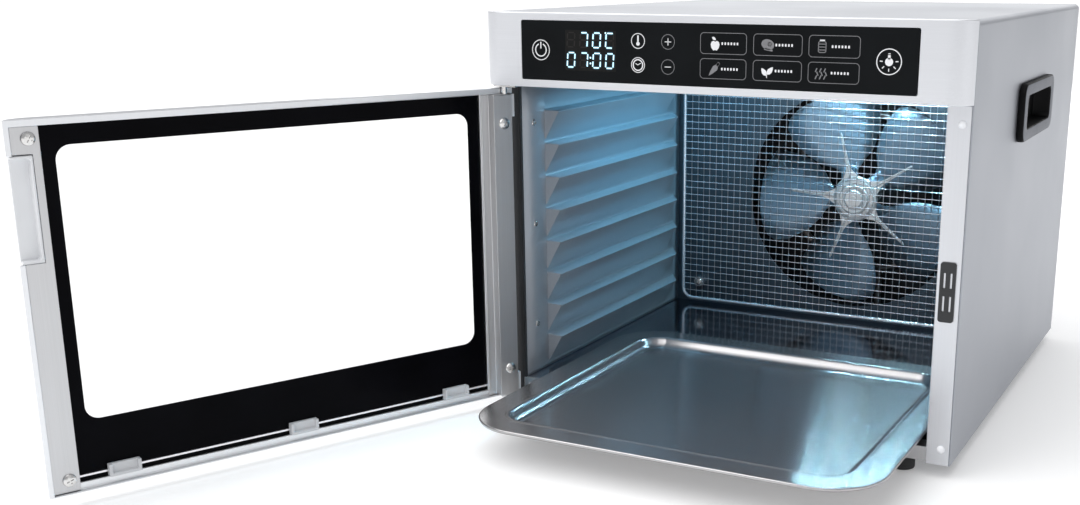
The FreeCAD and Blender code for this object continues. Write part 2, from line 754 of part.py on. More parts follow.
# ---- fixings on the cabinet -------------------------------------------------------------------------------------------
def foot_places():
    x = half - foot_inset_side
    y = cabinet_depth / 2 - foot_inset_end
    return [(sx * x, sy * y) for sx in (-1, 1) for sy in (-1, 1)]


def make_feet():
    feet = []
    for x, y in foot_places():
        foot = Part.makeCylinder(foot_radius, foot_height, Vector(x, y, 0))
        socket = Part.makeCylinder(foot_screw_radius, foot_height, Vector(x, y, foot_height - foot_screw_engage))
        feet.append(foot.cut(socket))
    return group(feet)


def foot_screw_holes():
    return group([Part.makeCylinder(foot_screw_radius, 20, Vector(x, y, foot_height - 8)) for x, y in foot_places()])


def make_foot_screws():
    """Screws that go down through the base pan into the feet."""
    screws = []
    for x, y in foot_places():
        seat = foot_height + base_sheet
        head = Part.makeCylinder(3.6, 2.2, Vector(x, y, seat))
        shank = Part.makeCylinder(foot_screw_radius, base_sheet + foot_screw_engage, Vector(x, y, foot_height
                                  - foot_screw_engage))
        screws.append(head.fuse(shank))
    return group(screws)


def make_bumpers():
    dots = []
    for z in (11.0, 220.8):
        dots.append(rod(2.6, 1.9, at(half - 6.5, fascia_depth, z), Vector(0, -1, 0)))
    return group(dots)


catch_x = half - 9.0
catch_low = 96.3
catch_high = 135.2
catch_half_width = 5.0


def make_catch():
    plate = rounded_plate(catch_x - catch_half_width, catch_x + catch_half_width, catch_low, catch_high,
                          fascia_depth - 1.2, fascia_depth, 2.0)
    slots = []
    middle = (catch_low + catch_high) / 2
    for side in (-1, 1):
        for low in (middle - 12.5, middle + 2.5):
            slots.append(box(catch_x + side * 2.1 - 0.7, catch_x + side * 2.1 + 0.7, fascia_depth - 2,
                             fascia_depth + 1, low, low + 10))
    return plate.cut(group(slots))


def make_catch_magnet():
    return box(catch_x - 4, catch_x + 4, fascia_depth + post_sheet, fascia_depth + post_sheet + 6, catch_low + 3,
               catch_high - 3)


def liner_screw_places():
    return [(liner_screw_depth, height) for height in (48.0, 126.0, 202.0)]


def make_liner_screws():
    screws = []
    for depth, height in liner_screw_places():
        seat = at(-cavity_half_width, depth, height)
        screws.append(pan_screw(seat, Vector(1, 0, 0), small_head_radius, small_head_height, liner_screw_shank,
                                sheet_shift_side))
    screws += [mirrored(s) for s in screws]
    return group(screws)


def make_rear_screws():
    screws = []
    for x in (-half + 9, 0.0, half - 9):
        for z in (9.0, cabinet_height - 10):
            screws.append(rod(3.6, 2.2, at(x, cabinet_depth, z), Vector(0, 1, 0)))
    return group(screws)


hinge_x = -half + hinge_inset


def make_hinge_plates():
    top = box(hinge_x - 6, hinge_x + 12, hinge_setback - 4.5, left_post_front, fascia_bottom - 1.6, fascia_bottom)
    low = box(hinge_x - 6, hinge_x + 8, hinge_setback - 4.5, left_post_front + post_depth, -2.4, -0.6)
    tab = box(hinge_x - 6, hinge_x + 8, left_post_front, left_post_front + post_depth, -0.6, 0)
    low = fused([low, tab])
    low = low.cut(rod(hinge_pin_radius, 6, at(hinge_x, hinge_setback, -4), Vector(0, 0, 1)))
    top = top.cut(rod(hinge_pin_radius, 6, at(hinge_x, hinge_setback, fascia_bottom - 4), Vector(0, 0, 1)))
    return group([top, low])


def make_hinge_pins():
    top = rod(hinge_pin_radius, hinge_pin_engage + 2.6, at(hinge_x, hinge_setback, fascia_bottom), Vector(0, 0, -1))
    low = rod(hinge_pin_radius, hinge_pin_engage + 2.4, at(hinge_x, hinge_setback, -2.4), Vector(0, 0, 1))
    return group([top, low])


# ---- door, drawn closed and then swung open -----------------------------------------------------------------------------
def pull_recess(margin):
    return rounded_plate(half - pull_width - margin, half + 20, pull_bottom - margin, pull_top + margin,
                         -1, door_thick + 5, 2.5)


def make_door_frame():
    body = prism(fascia_profile(0, door_thick, door_thick), 0, door_height)
    opening = box(door_opening_left, door_opening_right, -1, door_thick + 1, door_opening_bottom, door_opening_top)
    seat = box(-half + 3.5, half - 3.5, door_floor, door_thick + 1, 1.0, door_height - 4.2)
    rebate = box(-half + door_glass_margin, half - door_glass_margin, -1,
                 door_glass_front + door_glass_thick + mask_thick, 3.0, door_height - 3.0)
    hinge_clear = box(-half - 1, -half + 3.6, door_floor, door_thick + 1, -1, door_height + 1)
    body = body.cut(opening).cut(seat).cut(rebate).cut(hinge_clear)
    recess = box(half - pull_width, half + 1, 2.0, door_thick + 1, pull_bottom, pull_top)
    edge = box(half - pull_edge_inset, half + 1, -1, door_thick + 1, pull_bottom, pull_top)
    pin_clear = rod(hinge_pin_radius + 0.8, door_height + 20, at(hinge_x, hinge_setback, -10), Vector(0, 0, 1))
    return body.cut(recess).cut(edge).cut(pin_clear).removeSplitter()


def make_door_glass():
    return box(-half + door_glass_margin + 0.2, half - door_glass_margin - 0.2, door_glass_front,
               door_glass_front + door_glass_thick, 3.2, door_height - 3.2)


def make_glass_mask():
    y0 = door_glass_front + door_glass_thick
    sheet = box(-half + door_glass_margin + 0.2, half - door_glass_margin - 0.2, y0, y0 + mask_thick, 3.2,
                door_height - 3.2)
    window = rounded_plate(window_left, window_right, window_bottom, window_top, y0 - 1, y0 + 1, window_corner)
    return sheet.cut(window)


def make_latch_strip():
    strip = box(door_opening_right, half - 3.7, door_floor, door_floor + strip_thick, 1.2, door_height - 4.4)
    strip = strip.cut(box(half - pull_width - 0.4, half, 0, door_thick, pull_bottom - 0.4, pull_top + 0.4))
    return strip.cut(group(door_screw_holes()))


def hinge_strip_x():
    return -half + 3.7, -half + 3.7 + hinge_strip_width


def make_hinge_strip():
    x0, x1 = hinge_strip_x()
    outer = box(x0, x1, door_floor, hinge_strip_back, 1.2, door_height - 4.4)
    inner = box(x0 + strip_thick, x1 - strip_thick, door_floor - 1, hinge_strip_back - strip_thick, 0,
                door_height)
    flange = box(x1, -half + 29.0, door_floor, door_floor + strip_thick, 1.2, door_height - 4.4)
    return fused([outer.cut(inner), flange]).cut(group(door_screw_holes()))


def make_hinge_blocks():
    x0, x1 = hinge_strip_x()
    blocks = []
    for low, high in ((1.2, 1.2 + 16), (door_height - 4.4 - 16, door_height - 4.4)):
        block = box(x0 + strip_thick, x1 - strip_thick, door_floor, hinge_strip_back - strip_thick, low, high)
        bore = rod(hinge_pin_radius + hinge_running_gap, 40, at(hinge_x, hinge_setback, low - 10), Vector(0, 0, 1))
        blocks.append(block.cut(bore))
    return group(blocks)


def door_screw_places():
    free = half - 13.3
    hinged = -half + 3.7 + hinge_strip_width * 0.5 + 1.0
    return [(free, 9.0, door_floor + strip_thick), (free, 218.4, door_floor + strip_thick),
            (hinged, 22.0, hinge_strip_back), (hinged, 205.0, hinge_strip_back)]


def door_screw_holes():
    return [rod(door_screw_shank, 6, at(x, seat + 2, z), Vector(0, -1, 0)) for x, z, seat in door_screw_places()]


def make_door_screws():
    screws = []
    for x, z, seat in door_screw_places():
        screws.append(pan_screw(at(x, seat, z), Vector(0, 1, 0), screw_head_radius, screw_head_height,
                                door_screw_shank, strip_thick))
    return group(screws)


def make_finger_pull():
    """Grip cup let into the door's free edge, open to the side."""
    x0 = half - pull_width + 0.2
    x1 = half - pull_edge_inset
    z0 = pull_bottom + 0.2
    z1 = pull_top - 0.2
    body = box(x0, x1, 2.1, door_thick, z0, z1)
    trough = rounded_plate(x0 + pull_wall, x1 + 8, z0 + pull_wall, z1 - pull_wall, 3.6, door_thick + 1, 2.0)
    return body.cut(trough)


def make_glass_clips():
    clips = []
    y0 = door_glass_front + door_glass_thick + mask_thick
    for x in clip_centres:
        foot = box(x - clip_width / 2, x + clip_width / 2, y0, door_thick - 0.4, door_opening_bottom, 13.5)
        notch = box(x - clip_width / 2 + 2.2, x + clip_width / 2 - 2.2, y0 + 2.6, door_thick, door_opening_bottom + 2.0,
                    14.0)
        clips.append(foot.cut(notch))
    return group(clips)


def make_door_channel():
    """Thin retaining wire along the foot of the glass."""
    y0 = door_glass_front + door_glass_thick + mask_thick
    z = door_opening_bottom + 3.0
    spans = []
    stops = [door_opening_left] + [x + s * clip_width / 2 for x in clip_centres for s in (-1, 1)] + [door_opening_right]
    for start, end in zip(stops[::2], stops[1::2]):
        spans.append(box(start + 0.05, end - 0.05, y0, y0 + 1.2, z, z + 1.2))
    return group(spans)


def swing_open(shape):
    opened = shape.copy()
    opened.rotate(at(hinge_x, hinge_setback, 0), Vector(0, 0, 1), -door_open_deg)
    return opened


# ---- drip tray --------------------------------------------------------------------------------------------------------
def make_tray():
    x0 = tray_x - tray_width / 2
    x1 = tray_x + tray_width / 2
    y0 = tray_front
    y1 = tray_front + tray_length
    low = floor_top + tray_floor_gap
    top = low + tray_depth
    rim = rounded_slab(x0, x1, y0, y1, top - tray_sheet, top, tray_corner)
    hem = rounded_slab(x0, x1, y0, y1, top - 2.2, top, tray_corner)
    hem = hem.cut(rounded_slab(x0 + 1.2, x1 - 1.2, y0 + 1.2, y1 - 1.2, top - 3, top + 1, tray_corner - 1.2))
    well = rounded_slab(x0 + tray_rim, x1 - tray_rim, y0 + tray_rim, y1 - tray_rim, low, top, tray_corner - tray_rim)
    inset = tray_rim + tray_sheet
    inside = rounded_slab(x0 + inset, x1 - inset, y0 + inset, y1 - inset, low + tray_sheet, top + 1,
                          tray_corner - inset)
    return fused([rim, hem, well]).cut(inside)


# ---- assembly ---------------------------------------------------------------------------------------------------------
shapes["outer_shell"] = make_shell()
shapes["base_pan"] = make_base()
shapes["rear_panel"] = make_rear_panel()
shapes["mains_inlet"] = make_inlet()
shapes["front_fascia"] = make_fascia()
shapes["control_glass"] = make_control_glass()
shapes["display_module"] = make_display()
shapes["control_board"] = make_control_board()
shapes["right_post"] = make_right_post()
shapes["left_post"] = make_left_post()
shapes["post_gasket"] = make_post_gasket()
shapes["front_sill"] = make_sill()
shapes["left_liner"] = make_left_liner()
shapes["right_liner"] = mirrored(shapes["left_liner"])
shapes["cavity_ceiling"] = make_ceiling()
shapes["cavity_floor"] = make_floor()
shapes["rear_baffle"] = make_baffle()
shapes["guard_frame"] = make_guard_frame()
shapes["guard_mesh"] = make_guard_mesh()
shapes["guard_spacers"] = make_guard_spacers()
shapes["guard_screws"] = make_guard_screws()
shapes["cavity_lamp"] = make_lamp()
shapes["lamp_lens"] = make_lamp_lens()
shapes["temperature_probe"] = make_probe()
shapes["fan_housing"] = make_housing()
shapes["heater_ring"] = make_heater()
shapes["heater_clips"] = make_heater_clips()
shapes["motor_body"] = make_motor_body()
shapes["motor_bearings"] = make_motor_bearings()
shapes["motor_screws"] = make_motor_screws()
shapes["power_board"] = make_power_board()
shapes["thermal_cutout"] = make_cutout()
shapes["right_carry_handle"] = make_carry_handle()
shapes["left_carry_handle"] = mirrored(shapes["right_carry_handle"])
shapes["feet"] = make_feet()
shapes["foot_screws"] = make_foot_screws()
shapes["door_bumpers"] = make_bumpers()
shapes["catch_plate"] = make_catch()
shapes["catch_magnet"] = make_catch_magnet()
shapes["liner_screws"] = make_liner_screws()
shapes["rear_screws"] = make_rear_screws()
shapes["hinge_plates"] = make_hinge_plates()
shapes["hinge_pins"] = make_hinge_pins()

shapes["door_frame"] = swing_open(make_door_frame())
shapes["door_glass"] = swing_open(make_door_glass())
shapes["glass_mask"] = swing_open(make_glass_mask())
shapes["latch_strip"] = swing_open(make_latch_strip())
shapes["hinge_strip"] = swing_open(make_hinge_strip())
shapes["hinge_blocks"] = swing_open(make_hinge_blocks())
shapes["door_screws"] = swing_open(make_door_screws())
shapes["finger_pull"] = swing_open(make_finger_pull())
shapes["glass_clips"] = swing_open(make_glass_clips())
shapes["glass_wire"] = swing_open(make_door_channel())

shapes["drip_tray"] = make_tray()

shapes["fan_spider"] = make_spider()
shapes["fan_blades"] = make_blades()
shapes["hub_cap"] = make_hub_cap()
shapes["motor_shaft"] = make_shaft()
shapes["motor_rotor"] = make_rotor()

os.makedirs("parts", exist_ok=True)
for name, shape in shapes.items():
    shape.exportStep("parts/" + name + ".step")
    print(name, len(shape.Solids), shape.isValid(), round(shape.Volume / 1000, 2), "cm3")
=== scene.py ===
import math
from random import Random

import bmesh
import bpy
from mathutils import Matrix, Vector


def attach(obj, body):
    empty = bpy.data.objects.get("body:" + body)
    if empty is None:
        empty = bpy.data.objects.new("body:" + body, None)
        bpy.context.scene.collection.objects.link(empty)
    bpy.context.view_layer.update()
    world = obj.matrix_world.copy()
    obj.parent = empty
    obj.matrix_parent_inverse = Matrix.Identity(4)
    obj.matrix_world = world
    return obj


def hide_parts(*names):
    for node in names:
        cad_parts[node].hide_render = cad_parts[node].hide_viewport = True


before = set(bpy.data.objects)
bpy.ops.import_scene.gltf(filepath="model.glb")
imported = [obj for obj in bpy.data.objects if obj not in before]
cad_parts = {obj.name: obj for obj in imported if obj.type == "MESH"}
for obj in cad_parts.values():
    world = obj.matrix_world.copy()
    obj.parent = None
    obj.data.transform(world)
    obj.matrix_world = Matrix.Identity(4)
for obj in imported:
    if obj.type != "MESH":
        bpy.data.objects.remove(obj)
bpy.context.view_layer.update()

print("frame loaded:", len(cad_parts), "nodes")

mm = 0.001


def at(x, depth, height):
    # x from the middle, depth behind the fascia's face, height above the cabinet's underside, in mm
    return Vector((x, depth - 193.0, height + 9.0)) * mm


# camera and lights
cameraView = {"lens": 43.37, "place": (0.3452, -0.9813, 0.3221), "tilt": 74.69, "turn": 26.79,
              "shiftX": -0.0864, "shiftY": 0.0654}
cameraData = bpy.data.cameras.new("camera")
cameraData.lens = cameraView["lens"]
cameraData.sensor_width = 36.0
cameraData.shift_x = cameraView["shiftX"]
cameraData.shift_y = cameraView["shiftY"]
cameraData.clip_start = 0.01
camera = bpy.data.objects.new("camera", cameraData)
camera.location = cameraView["place"]
camera.rotation_euler = (math.radians(cameraView["tilt"]), 0, math.radians(cameraView["turn"]))
bpy.context.scene.collection.objects.link(camera)
bpy.context.scene.camera = camera
bpy.context.scene.view_settings.view_transform = "Standard"


def softLight(name, place, target, width, height, power, colour=(1, 1, 1)):
    data = bpy.data.lights.new(name, "AREA")
    data.shape = "RECTANGLE"
    data.size = width
    data.size_y = height
    data.energy = power
    data.color = colour
    light = bpy.data.objects.new(name, data)
    light.location = place
    light.rotation_euler = (Vector(target) - Vector(place)).to_track_quat("-Z", "Y").to_euler()
    bpy.context.scene.collection.objects.link(light)
    return light


studio = {"worldGrey": 0.50, "worldTint": (0.97, 0.98, 1.0, 1), "sunPower": 1.75, "sunSpread": 70,
          "sunTurn": (18, -14, 0), "keyPower": 9, "fillPower": 1.2, "backPower": 20, "ceilingPower": 0.38,
          "cavityBlue": (0.20, 0.66, 1.0), "diodes": 10, "firstDiode": -22, "diodeGap": 16, "diodeSize": 0.005,
          "diodePower": 0.045, "diodeBlue": (0.45, 0.82, 1.0)}
world = bpy.data.worlds.new("studio")
bpy.context.scene.world = world
world.use_nodes = True
backdrop = world.node_tree.nodes["Background"]
backdrop.inputs["Color"].default_value = studio["worldTint"]
backdrop.inputs["Strength"].default_value = studio["worldGrey"]
sunData = bpy.data.lights.new("softSun", "SUN")
sunData.energy = studio["sunPower"]
sunData.angle = math.radians(studio["sunSpread"])
sun = bpy.data.objects.new("softSun", sunData)
sun.rotation_euler = [math.radians(turn) for turn in studio["sunTurn"]]
bpy.context.scene.collection.objects.link(sun)
softLight("keyLight", (-1.3, -1.9, 1.5), (0, -0.2, 0.15), 1.6, 1.2, studio["keyPower"])
softLight("fillLight", (1.9, -1.0, 0.9), (0.1, 0, 0.15), 1.2, 1.4, studio["fillPower"])
softLight("backLight", (-0.8, 2.6, 0.8), (0, 0, 0.29), 3.0, 1.4, studio["backPower"])
ceilingGlow = softLight("ceilingGlow", at(-92, 180, 231), at(-92, 180.1, 20), 0.06, 0.22, studio["ceilingPower"],
                        studio["cavityBlue"])
ceilingGlow.visible_glossy = False  # it only lights what scatters; the diodes give the highlights
for diode in range(studio["diodes"]):
    across = studio["firstDiode"] + studio["diodeGap"] * diode
    softLight("diode%d" % diode, at(across, 262, 230), at(across, 262.1, 20), studio["diodeSize"],
              studio["diodeSize"], studio["diodePower"], studio["diodeBlue"])
print("camera and lights done")


# shader groups and node helpers
def newGroup(name, inputs, outputs):
    group = bpy.data.node_groups.new(name, "ShaderNodeTree")
    for label, kind, value in inputs:
        socket = group.interface.new_socket(label, in_out="INPUT", socket_type=kind)
        if value is not None:
            socket.default_value = value
    for label, kind in outputs:
        group.interface.new_socket(label, in_out="OUTPUT", socket_type=kind)
    return group, group.nodes.new("NodeGroupInput"), group.nodes.new("NodeGroupOutput")


def mathNode(tree, operation, first, second=None, third=None):
    node = tree.nodes.new("ShaderNodeMath")
    node.operation = operation
    for index, value in enumerate((first, second, third)):
        if value is None:
            continue
        if isinstance(value, (int, float)):
            node.inputs[index].default_value = value
        else:
            tree.links.new(value, node.inputs[index])
    return node.outputs[0]


def noiseNode(tree, vector, scale, detail=2.0, roughness=0.5):
    node = tree.nodes.new("ShaderNodeTexNoise")
    for label, value in (("Scale", scale), ("Detail", detail), ("Roughness", roughness)):
        if isinstance(value, (int, float)):
            node.inputs[label].default_value = value
        else:
            tree.links.new(value, node.inputs[label])
    tree.links.new(vector, node.inputs["Vector"])
    return node.outputs["Fac"]


def buildBrushedGroup():
    # streaks along one direction: the coordinates are squeezed by Stretch, so the long axis has the small number
    group, inside, out = newGroup("brushedGrain", [("Vector", "NodeSocketVector", None),
                                                   ("Stretch", "NodeSocketVector", (1.0, 1.0, 1.0)),
                                                   ("Smudge Size", "NodeSocketFloat", 9.0)],
                                  [("Streaks", "NodeSocketFloat"), ("Smudges", "NodeSocketFloat")])
    squeeze = group.nodes.new("ShaderNodeVectorMath")
    squeeze.operation = "MULTIPLY"
    group.links.new(inside.outputs["Vector"], squeeze.inputs[0])
    group.links.new(inside.outputs["Stretch"], squeeze.inputs[1])
    fine = noiseNode(group, squeeze.outputs[0], 1.0, 3.0, 0.65)
    broad = noiseNode(group, squeeze.outputs[0], 0.22, 2.0, 0.5)
    streaks = mathNode(group, "MULTIPLY_ADD", fine, 0.7, mathNode(group, "MULTIPLY", broad, 0.3))
    group.links.new(streaks, out.inputs["Streaks"])
    smudges = noiseNode(group, inside.outputs["Vector"], inside.outputs["Smudge Size"], 3.0, 0.55)
    group.links.new(smudges, out.inputs["Smudges"])
    return group


def buildMottleGroup():
    # fine grain and slow patches for moulded plastic, rubber and print
    group, inside, out = newGroup("mouldedGrain", [("Vector", "NodeSocketVector", None),
                                                   ("Grain Size", "NodeSocketFloat", 900.0),
                                                   ("Patch Size", "NodeSocketFloat", 25.0)],
                                  [("Grain", "NodeSocketFloat"), ("Patches", "NodeSocketFloat")])
    group.links.new(noiseNode(group, inside.outputs["Vector"], inside.outputs["Grain Size"], 2.0, 0.6),
                    out.inputs["Grain"])
    group.links.new(noiseNode(group, inside.outputs["Vector"], inside.outputs["Patch Size"], 3.0, 0.5),
                    out.inputs["Patches"])
    return group


brushedGroup = buildBrushedGroup()
mottleGroup = buildMottleGroup()


def startMaterial(name):
    material = bpy.data.materials.new(name)
    material.use_nodes = True
    tree = material.node_tree
    shader = tree.nodes["Principled BSDF"]
    coords = tree.nodes.new("ShaderNodeTexCoord").outputs["Object"]
    return material, tree, shader, coords


def rampNode(tree, factor, dark, light, low=0.3, high=0.7):
    node = tree.nodes.new("ShaderNodeValToRGB")
    node.color_ramp.elements[0].position = low
    node.color_ramp.elements[1].position = high
    node.color_ramp.elements[0].color = (*dark, 1)
    node.color_ramp.elements[1].color = (*light, 1)
    tree.links.new(factor, node.inputs["Fac"])
    return node.outputs["Color"]


def rangeNode(tree, value, low, high, fromLow=0.3, fromHigh=0.7):
    node = tree.nodes.new("ShaderNodeMapRange")
    for label, number in (("From Min", fromLow), ("From Max", fromHigh), ("To Min", low), ("To Max", high)):
        node.inputs[label].default_value = number
    tree.links.new(value, node.inputs["Value"])
    return node.outputs["Result"]


def bumpNode(tree, height, strength, distance):
    node = tree.nodes.new("ShaderNodeBump")
    node.inputs["Strength"].default_value = strength
    node.inputs["Distance"].default_value = distance
    tree.links.new(height, node.inputs["Height"])
    return node.outputs["Normal"]


grain = {"brushLength": 14.0, "brushDepth": 0.00006, "mouldDepth": 0.00005}


def brushedMetal(name, colour, grainAxis, roughness, contrast, bump, spread, fine=2600.0, metallic=1.0):
    # grainAxis is the axis that the brushing runs along, or None for a bead-blasted look
    material, tree, shader, coords = startMaterial(name)
    group = tree.nodes.new("ShaderNodeGroup")
    group.node_tree = brushedGroup
    stretch = [fine] * 3
    if grainAxis is not None:
        stretch["XYZ".index(grainAxis)] = grain["brushLength"]
    group.inputs["Stretch"].default_value = stretch
    tree.links.new(coords, group.inputs["Vector"])
    dark = [c * (1 - contrast) for c in colour]
    light = [min(1.0, c * (1 + contrast)) for c in colour]
    tree.links.new(rampNode(tree, group.outputs["Streaks"], dark, light), shader.inputs["Base Color"])
    mottleAndSheen = mathNode(tree, "MULTIPLY_ADD", group.outputs["Smudges"], 0.6,
                    mathNode(tree, "MULTIPLY", group.outputs["Streaks"], 0.4))
    tree.links.new(rangeNode(tree, mottleAndSheen, roughness - spread, roughness + spread), shader.inputs["Roughness"])
    if bump > 0:
        tree.links.new(bumpNode(tree, group.outputs["Streaks"], bump, grain["brushDepth"]),
                       shader.inputs["Normal"])
    shader.inputs["Metallic"].default_value = metallic
    return material


def moulded(name, colour, roughness, contrast, bump, grainSize=900.0, specular=0.5):
    material, tree, shader, coords = startMaterial(name)
    group = tree.nodes.new("ShaderNodeGroup")
    group.node_tree = mottleGroup
    group.inputs["Grain Size"].default_value = grainSize
    tree.links.new(coords, group.inputs["Vector"])
    dark = [c * (1 - contrast) for c in colour]
    light = [min(1.0, c * (1 + contrast)) for c in colour]
    tree.links.new(rampNode(tree, group.outputs["Patches"], dark, light), shader.inputs["Base Color"])
    tree.links.new(rangeNode(tree, group.outputs["Patches"], roughness * 0.85, min(1.0, roughness * 1.15)),
                   shader.inputs["Roughness"])
    if bump > 0:
        tree.links.new(bumpNode(tree, group.outputs["Grain"], bump, grain["mouldDepth"]), shader.inputs["Normal"])
    shader.inputs["Specular IOR Level"].default_value = specular
    return material


handleLip = {"flatFrom": 0.17720, "flatTo": 0.17735}  # metres from the middle: the lip's flat face that takes the painted highlight


def handleMoulding(name, cup, rim, roughness):
    # a black cup with a painted highlight: the flat of its lip is drawn lighter, as where light falls on it
    material = moulded(name, cup, roughness, 0.1, 0.05, specular=0.12)
    tree = material.node_tree
    coords = tree.nodes.new("ShaderNodeTexCoord").outputs["Object"]
    split = tree.nodes.new("ShaderNodeSeparateXYZ")
    tree.links.new(coords, split.inputs["Vector"])
    flat = rangeNode(tree, mathNode(tree, "ABSOLUTE", split.outputs["X"]), 0.0, 1.0, handleLip["flatFrom"],
                     handleLip["flatTo"])
    # painted highlight on the lip's flat, broken up a little by mottle
    mottleAndSheen = mathNode(tree, "MULTIPLY", flat, rangeNode(tree, noiseNode(tree, coords, 700.0), 0.85, 1.0))
    tree.links.new(rampNode(tree, mottleAndSheen, cup, rim, 0.0, 1.0), tree.nodes["Principled BSDF"].inputs["Base Color"])
    return material


def glowing(name, colour, strength, base=(0.02, 0.02, 0.02)):
    material, tree, shader, coords = startMaterial(name)
    patches = noiseNode(tree, coords, 160.0, 1.0)
    dark = [c * 0.88 for c in colour]
    tree.links.new(rampNode(tree, patches, dark, colour), shader.inputs["Emission Color"])
    shader.inputs["Base Color"].default_value = (*base, 1)
    shader.inputs["Emission Strength"].default_value = strength
    shader.inputs["Roughness"].default_value = 0.4
    return material


def paneGlass(name, alpha, tint):
    material, tree, shader, coords = startMaterial(name)
    smears = noiseNode(tree, coords, 14.0, 4.0, 0.6)
    tree.links.new(rangeNode(tree, smears, alpha * 0.7, alpha * 1.3), shader.inputs["Alpha"])
    tree.links.new(rangeNode(tree, smears, 0.02, 0.06), shader.inputs["Roughness"])
    shader.inputs["Specular IOR Level"].default_value = 0.12
    tree.links.new(rampNode(tree, smears, [c * 0.97 for c in tint], tint), shader.inputs["Base Color"])
    return material


def trayMetal(name, colour, roughness, coordsName):
    # highlights are drawn out across the brushing; the piece's own coordinates say which way that is
    material = brushedMetal(name, colour, "X", roughness, 0.03, 0.0, 0.012, metallic=0.95)
    tree = material.node_tree
    shader = tree.nodes["Principled BSDF"]
    tangent = tree.nodes.new("ShaderNodeTangent")
    tangent.direction_type = "UV_MAP"
    tangent.uv_map = coordsName
    tree.links.new(tangent.outputs["Tangent"], shader.inputs["Tangent"])
    shader.inputs["Anisotropic"].default_value = 0.97
    return material


finish = {
    "shellSide": brushedMetal("shellSide", (0.37, 0.385, 0.42), "Z", 0.42, 0.02, 0.12, 0.05),
    "fascia": brushedMetal("fasciaSteel", (0.74, 0.75, 0.78), "X", 0.34, 0.03, 0.14, 0.05),
    "post": brushedMetal("postSteel", (0.68, 0.69, 0.72), "Z", 0.36, 0.03, 0.14, 0.05),
    "doorFrame": brushedMetal("doorFrameSteel", (0.80, 0.81, 0.83), "Z", 0.38, 0.02, 0.10, 0.05),
    "doorStrip": brushedMetal("doorStripSteel", (0.56, 0.56, 0.57), "Z", 0.36, 0.05, 0.20, 0.06),
    "liner": brushedMetal("linerSteel", (0.38, 0.41, 0.45), "Y", 0.34, 0.02, 0.06, 0.02, metallic=0.5),
    "cavityFloor": brushedMetal("floorSteel", (0.34, 0.36, 0.40), "X", 0.10, 0.05, 0.05, 0.03),
    # painted shade: the baffle is cavity steel drawn much darker, for the shade at the back of the cavity
    "baffle": brushedMetal("baffleSteel", (0.09, 0.115, 0.14), "X", 0.34, 0.03, 0.08, 0.03, metallic=0.7),
    "tray": trayMetal("traySteel", (0.48, 0.47, 0.475), 0.19, "grain"),
    "wire": brushedMetal("wireSteel", (0.84, 0.82, 0.85), None, 0.25, 0.05, 0.0, 0.05, fine=900.0, metallic=0.8),
    # painted shade: a darker copy of the wire steel for the columns that stand behind the rows
    "shadedWire": brushedMetal("shadedWireSteel", (0.34, 0.35, 0.37), None, 0.35, 0.05, 0.0, 0.05, fine=900.0),
    "screw": brushedMetal("screwSteel", (0.70, 0.69, 0.68), None, 0.20, 0.06, 0.0, 0.05, fine=900.0),
    "blade": brushedMetal("bladeMetal", (0.25, 0.33, 0.41), "X", 0.38, 0.03, 0.0, 0.03, metallic=0.75),
    "hub": brushedMetal("turnedMetal", (0.80, 0.79, 0.79), None, 0.36, 0.02, 0.0, 0.02, fine=300.0, metallic=0.85),
    "housing": moulded("housingBlack", (0.012, 0.013, 0.016), 0.6, 0.2, 0.1),
    "panelGlass": moulded("panelGlass", (0.006, 0.007, 0.008), 0.16, 0.2, 0.0, specular=0.06),
    "borderPrint": moulded("borderPrint", (0.002, 0.002, 0.003), 0.12, 0.3, 0.0, specular=0.03),
    "doorGlass": paneGlass("doorGlass", 0.07, (0.90, 0.94, 0.95)),
    "blackPlastic": moulded("blackPlastic", (0.018, 0.019, 0.021), 0.38, 0.25, 0.25),
    # the handles' lighter lip colour is a painted highlight
    "handlePlastic": handleMoulding("handlePlastic", (0.003, 0.003, 0.0035), (0.20, 0.21, 0.235), 0.5),
    "rubber": moulded("footRubber", (0.02, 0.02, 0.021), 0.75, 0.2, 0.3, 500.0),
    "whitePlastic": moulded("palePlastic", (0.74, 0.75, 0.77), 0.36, 0.04, 0.10),
    "greyPlastic": moulded("clipPlastic", (0.60, 0.61, 0.63), 0.40, 0.05, 0.10),
    "softWhite": moulded("bumperWhite", (0.86, 0.87, 0.90), 0.5, 0.04, 0.05),
    "print": moulded("panelPrint", (0.80, 0.80, 0.82), 0.5, 0.05, 0.0),
    "dimPrint": moulded("dimPrint", (0.20, 0.20, 0.21), 0.5, 0.05, 0.0),
    "displayBack": moulded("displayBack", (0.009, 0.009, 0.009), 0.3, 0.1, 0.0, specular=0.1),
    "unlit": moulded("unlitSegment", (0.024, 0.022, 0.022), 0.4, 0.1, 0.0, specular=0.1),
    "lit": glowing("litSegment", (0.58, 0.90, 1.0), 1.9),
    "litHalo": glowing("litHalo", (0.03, 0.20, 0.38), 0.45),
    "board": moulded("circuitBoard", (0.03, 0.16, 0.07), 0.5, 0.3, 0.3, 300.0),
    "heater": brushedMetal("heaterSheath", (0.30, 0.28, 0.27), None, 0.45, 0.15, 0.2, 0.08, fine=700.0),
    "motor": moulded("motorPaint", (0.16, 0.17, 0.18), 0.5, 0.15, 0.2),
    "lens": glowing("lampLens", (0.70, 0.88, 1.0), 1.6, (0.8, 0.85, 0.9)),
    "magnet": brushedMetal("magnetMetal", (0.80, 0.80, 0.80), None, 0.5, 0.05, 0.1, 0.05, fine=500.0),
}
print("materials done")


# the door's pieces are drawn closed and turned open about the hinge line
hingeLine = at(-161.4, 10.1, 0)
doorTurn = (Matrix.Translation(hingeLine) @ Matrix.Rotation(math.radians(-115), 4, "Z")
            @ Matrix.Translation(-hingeLine))


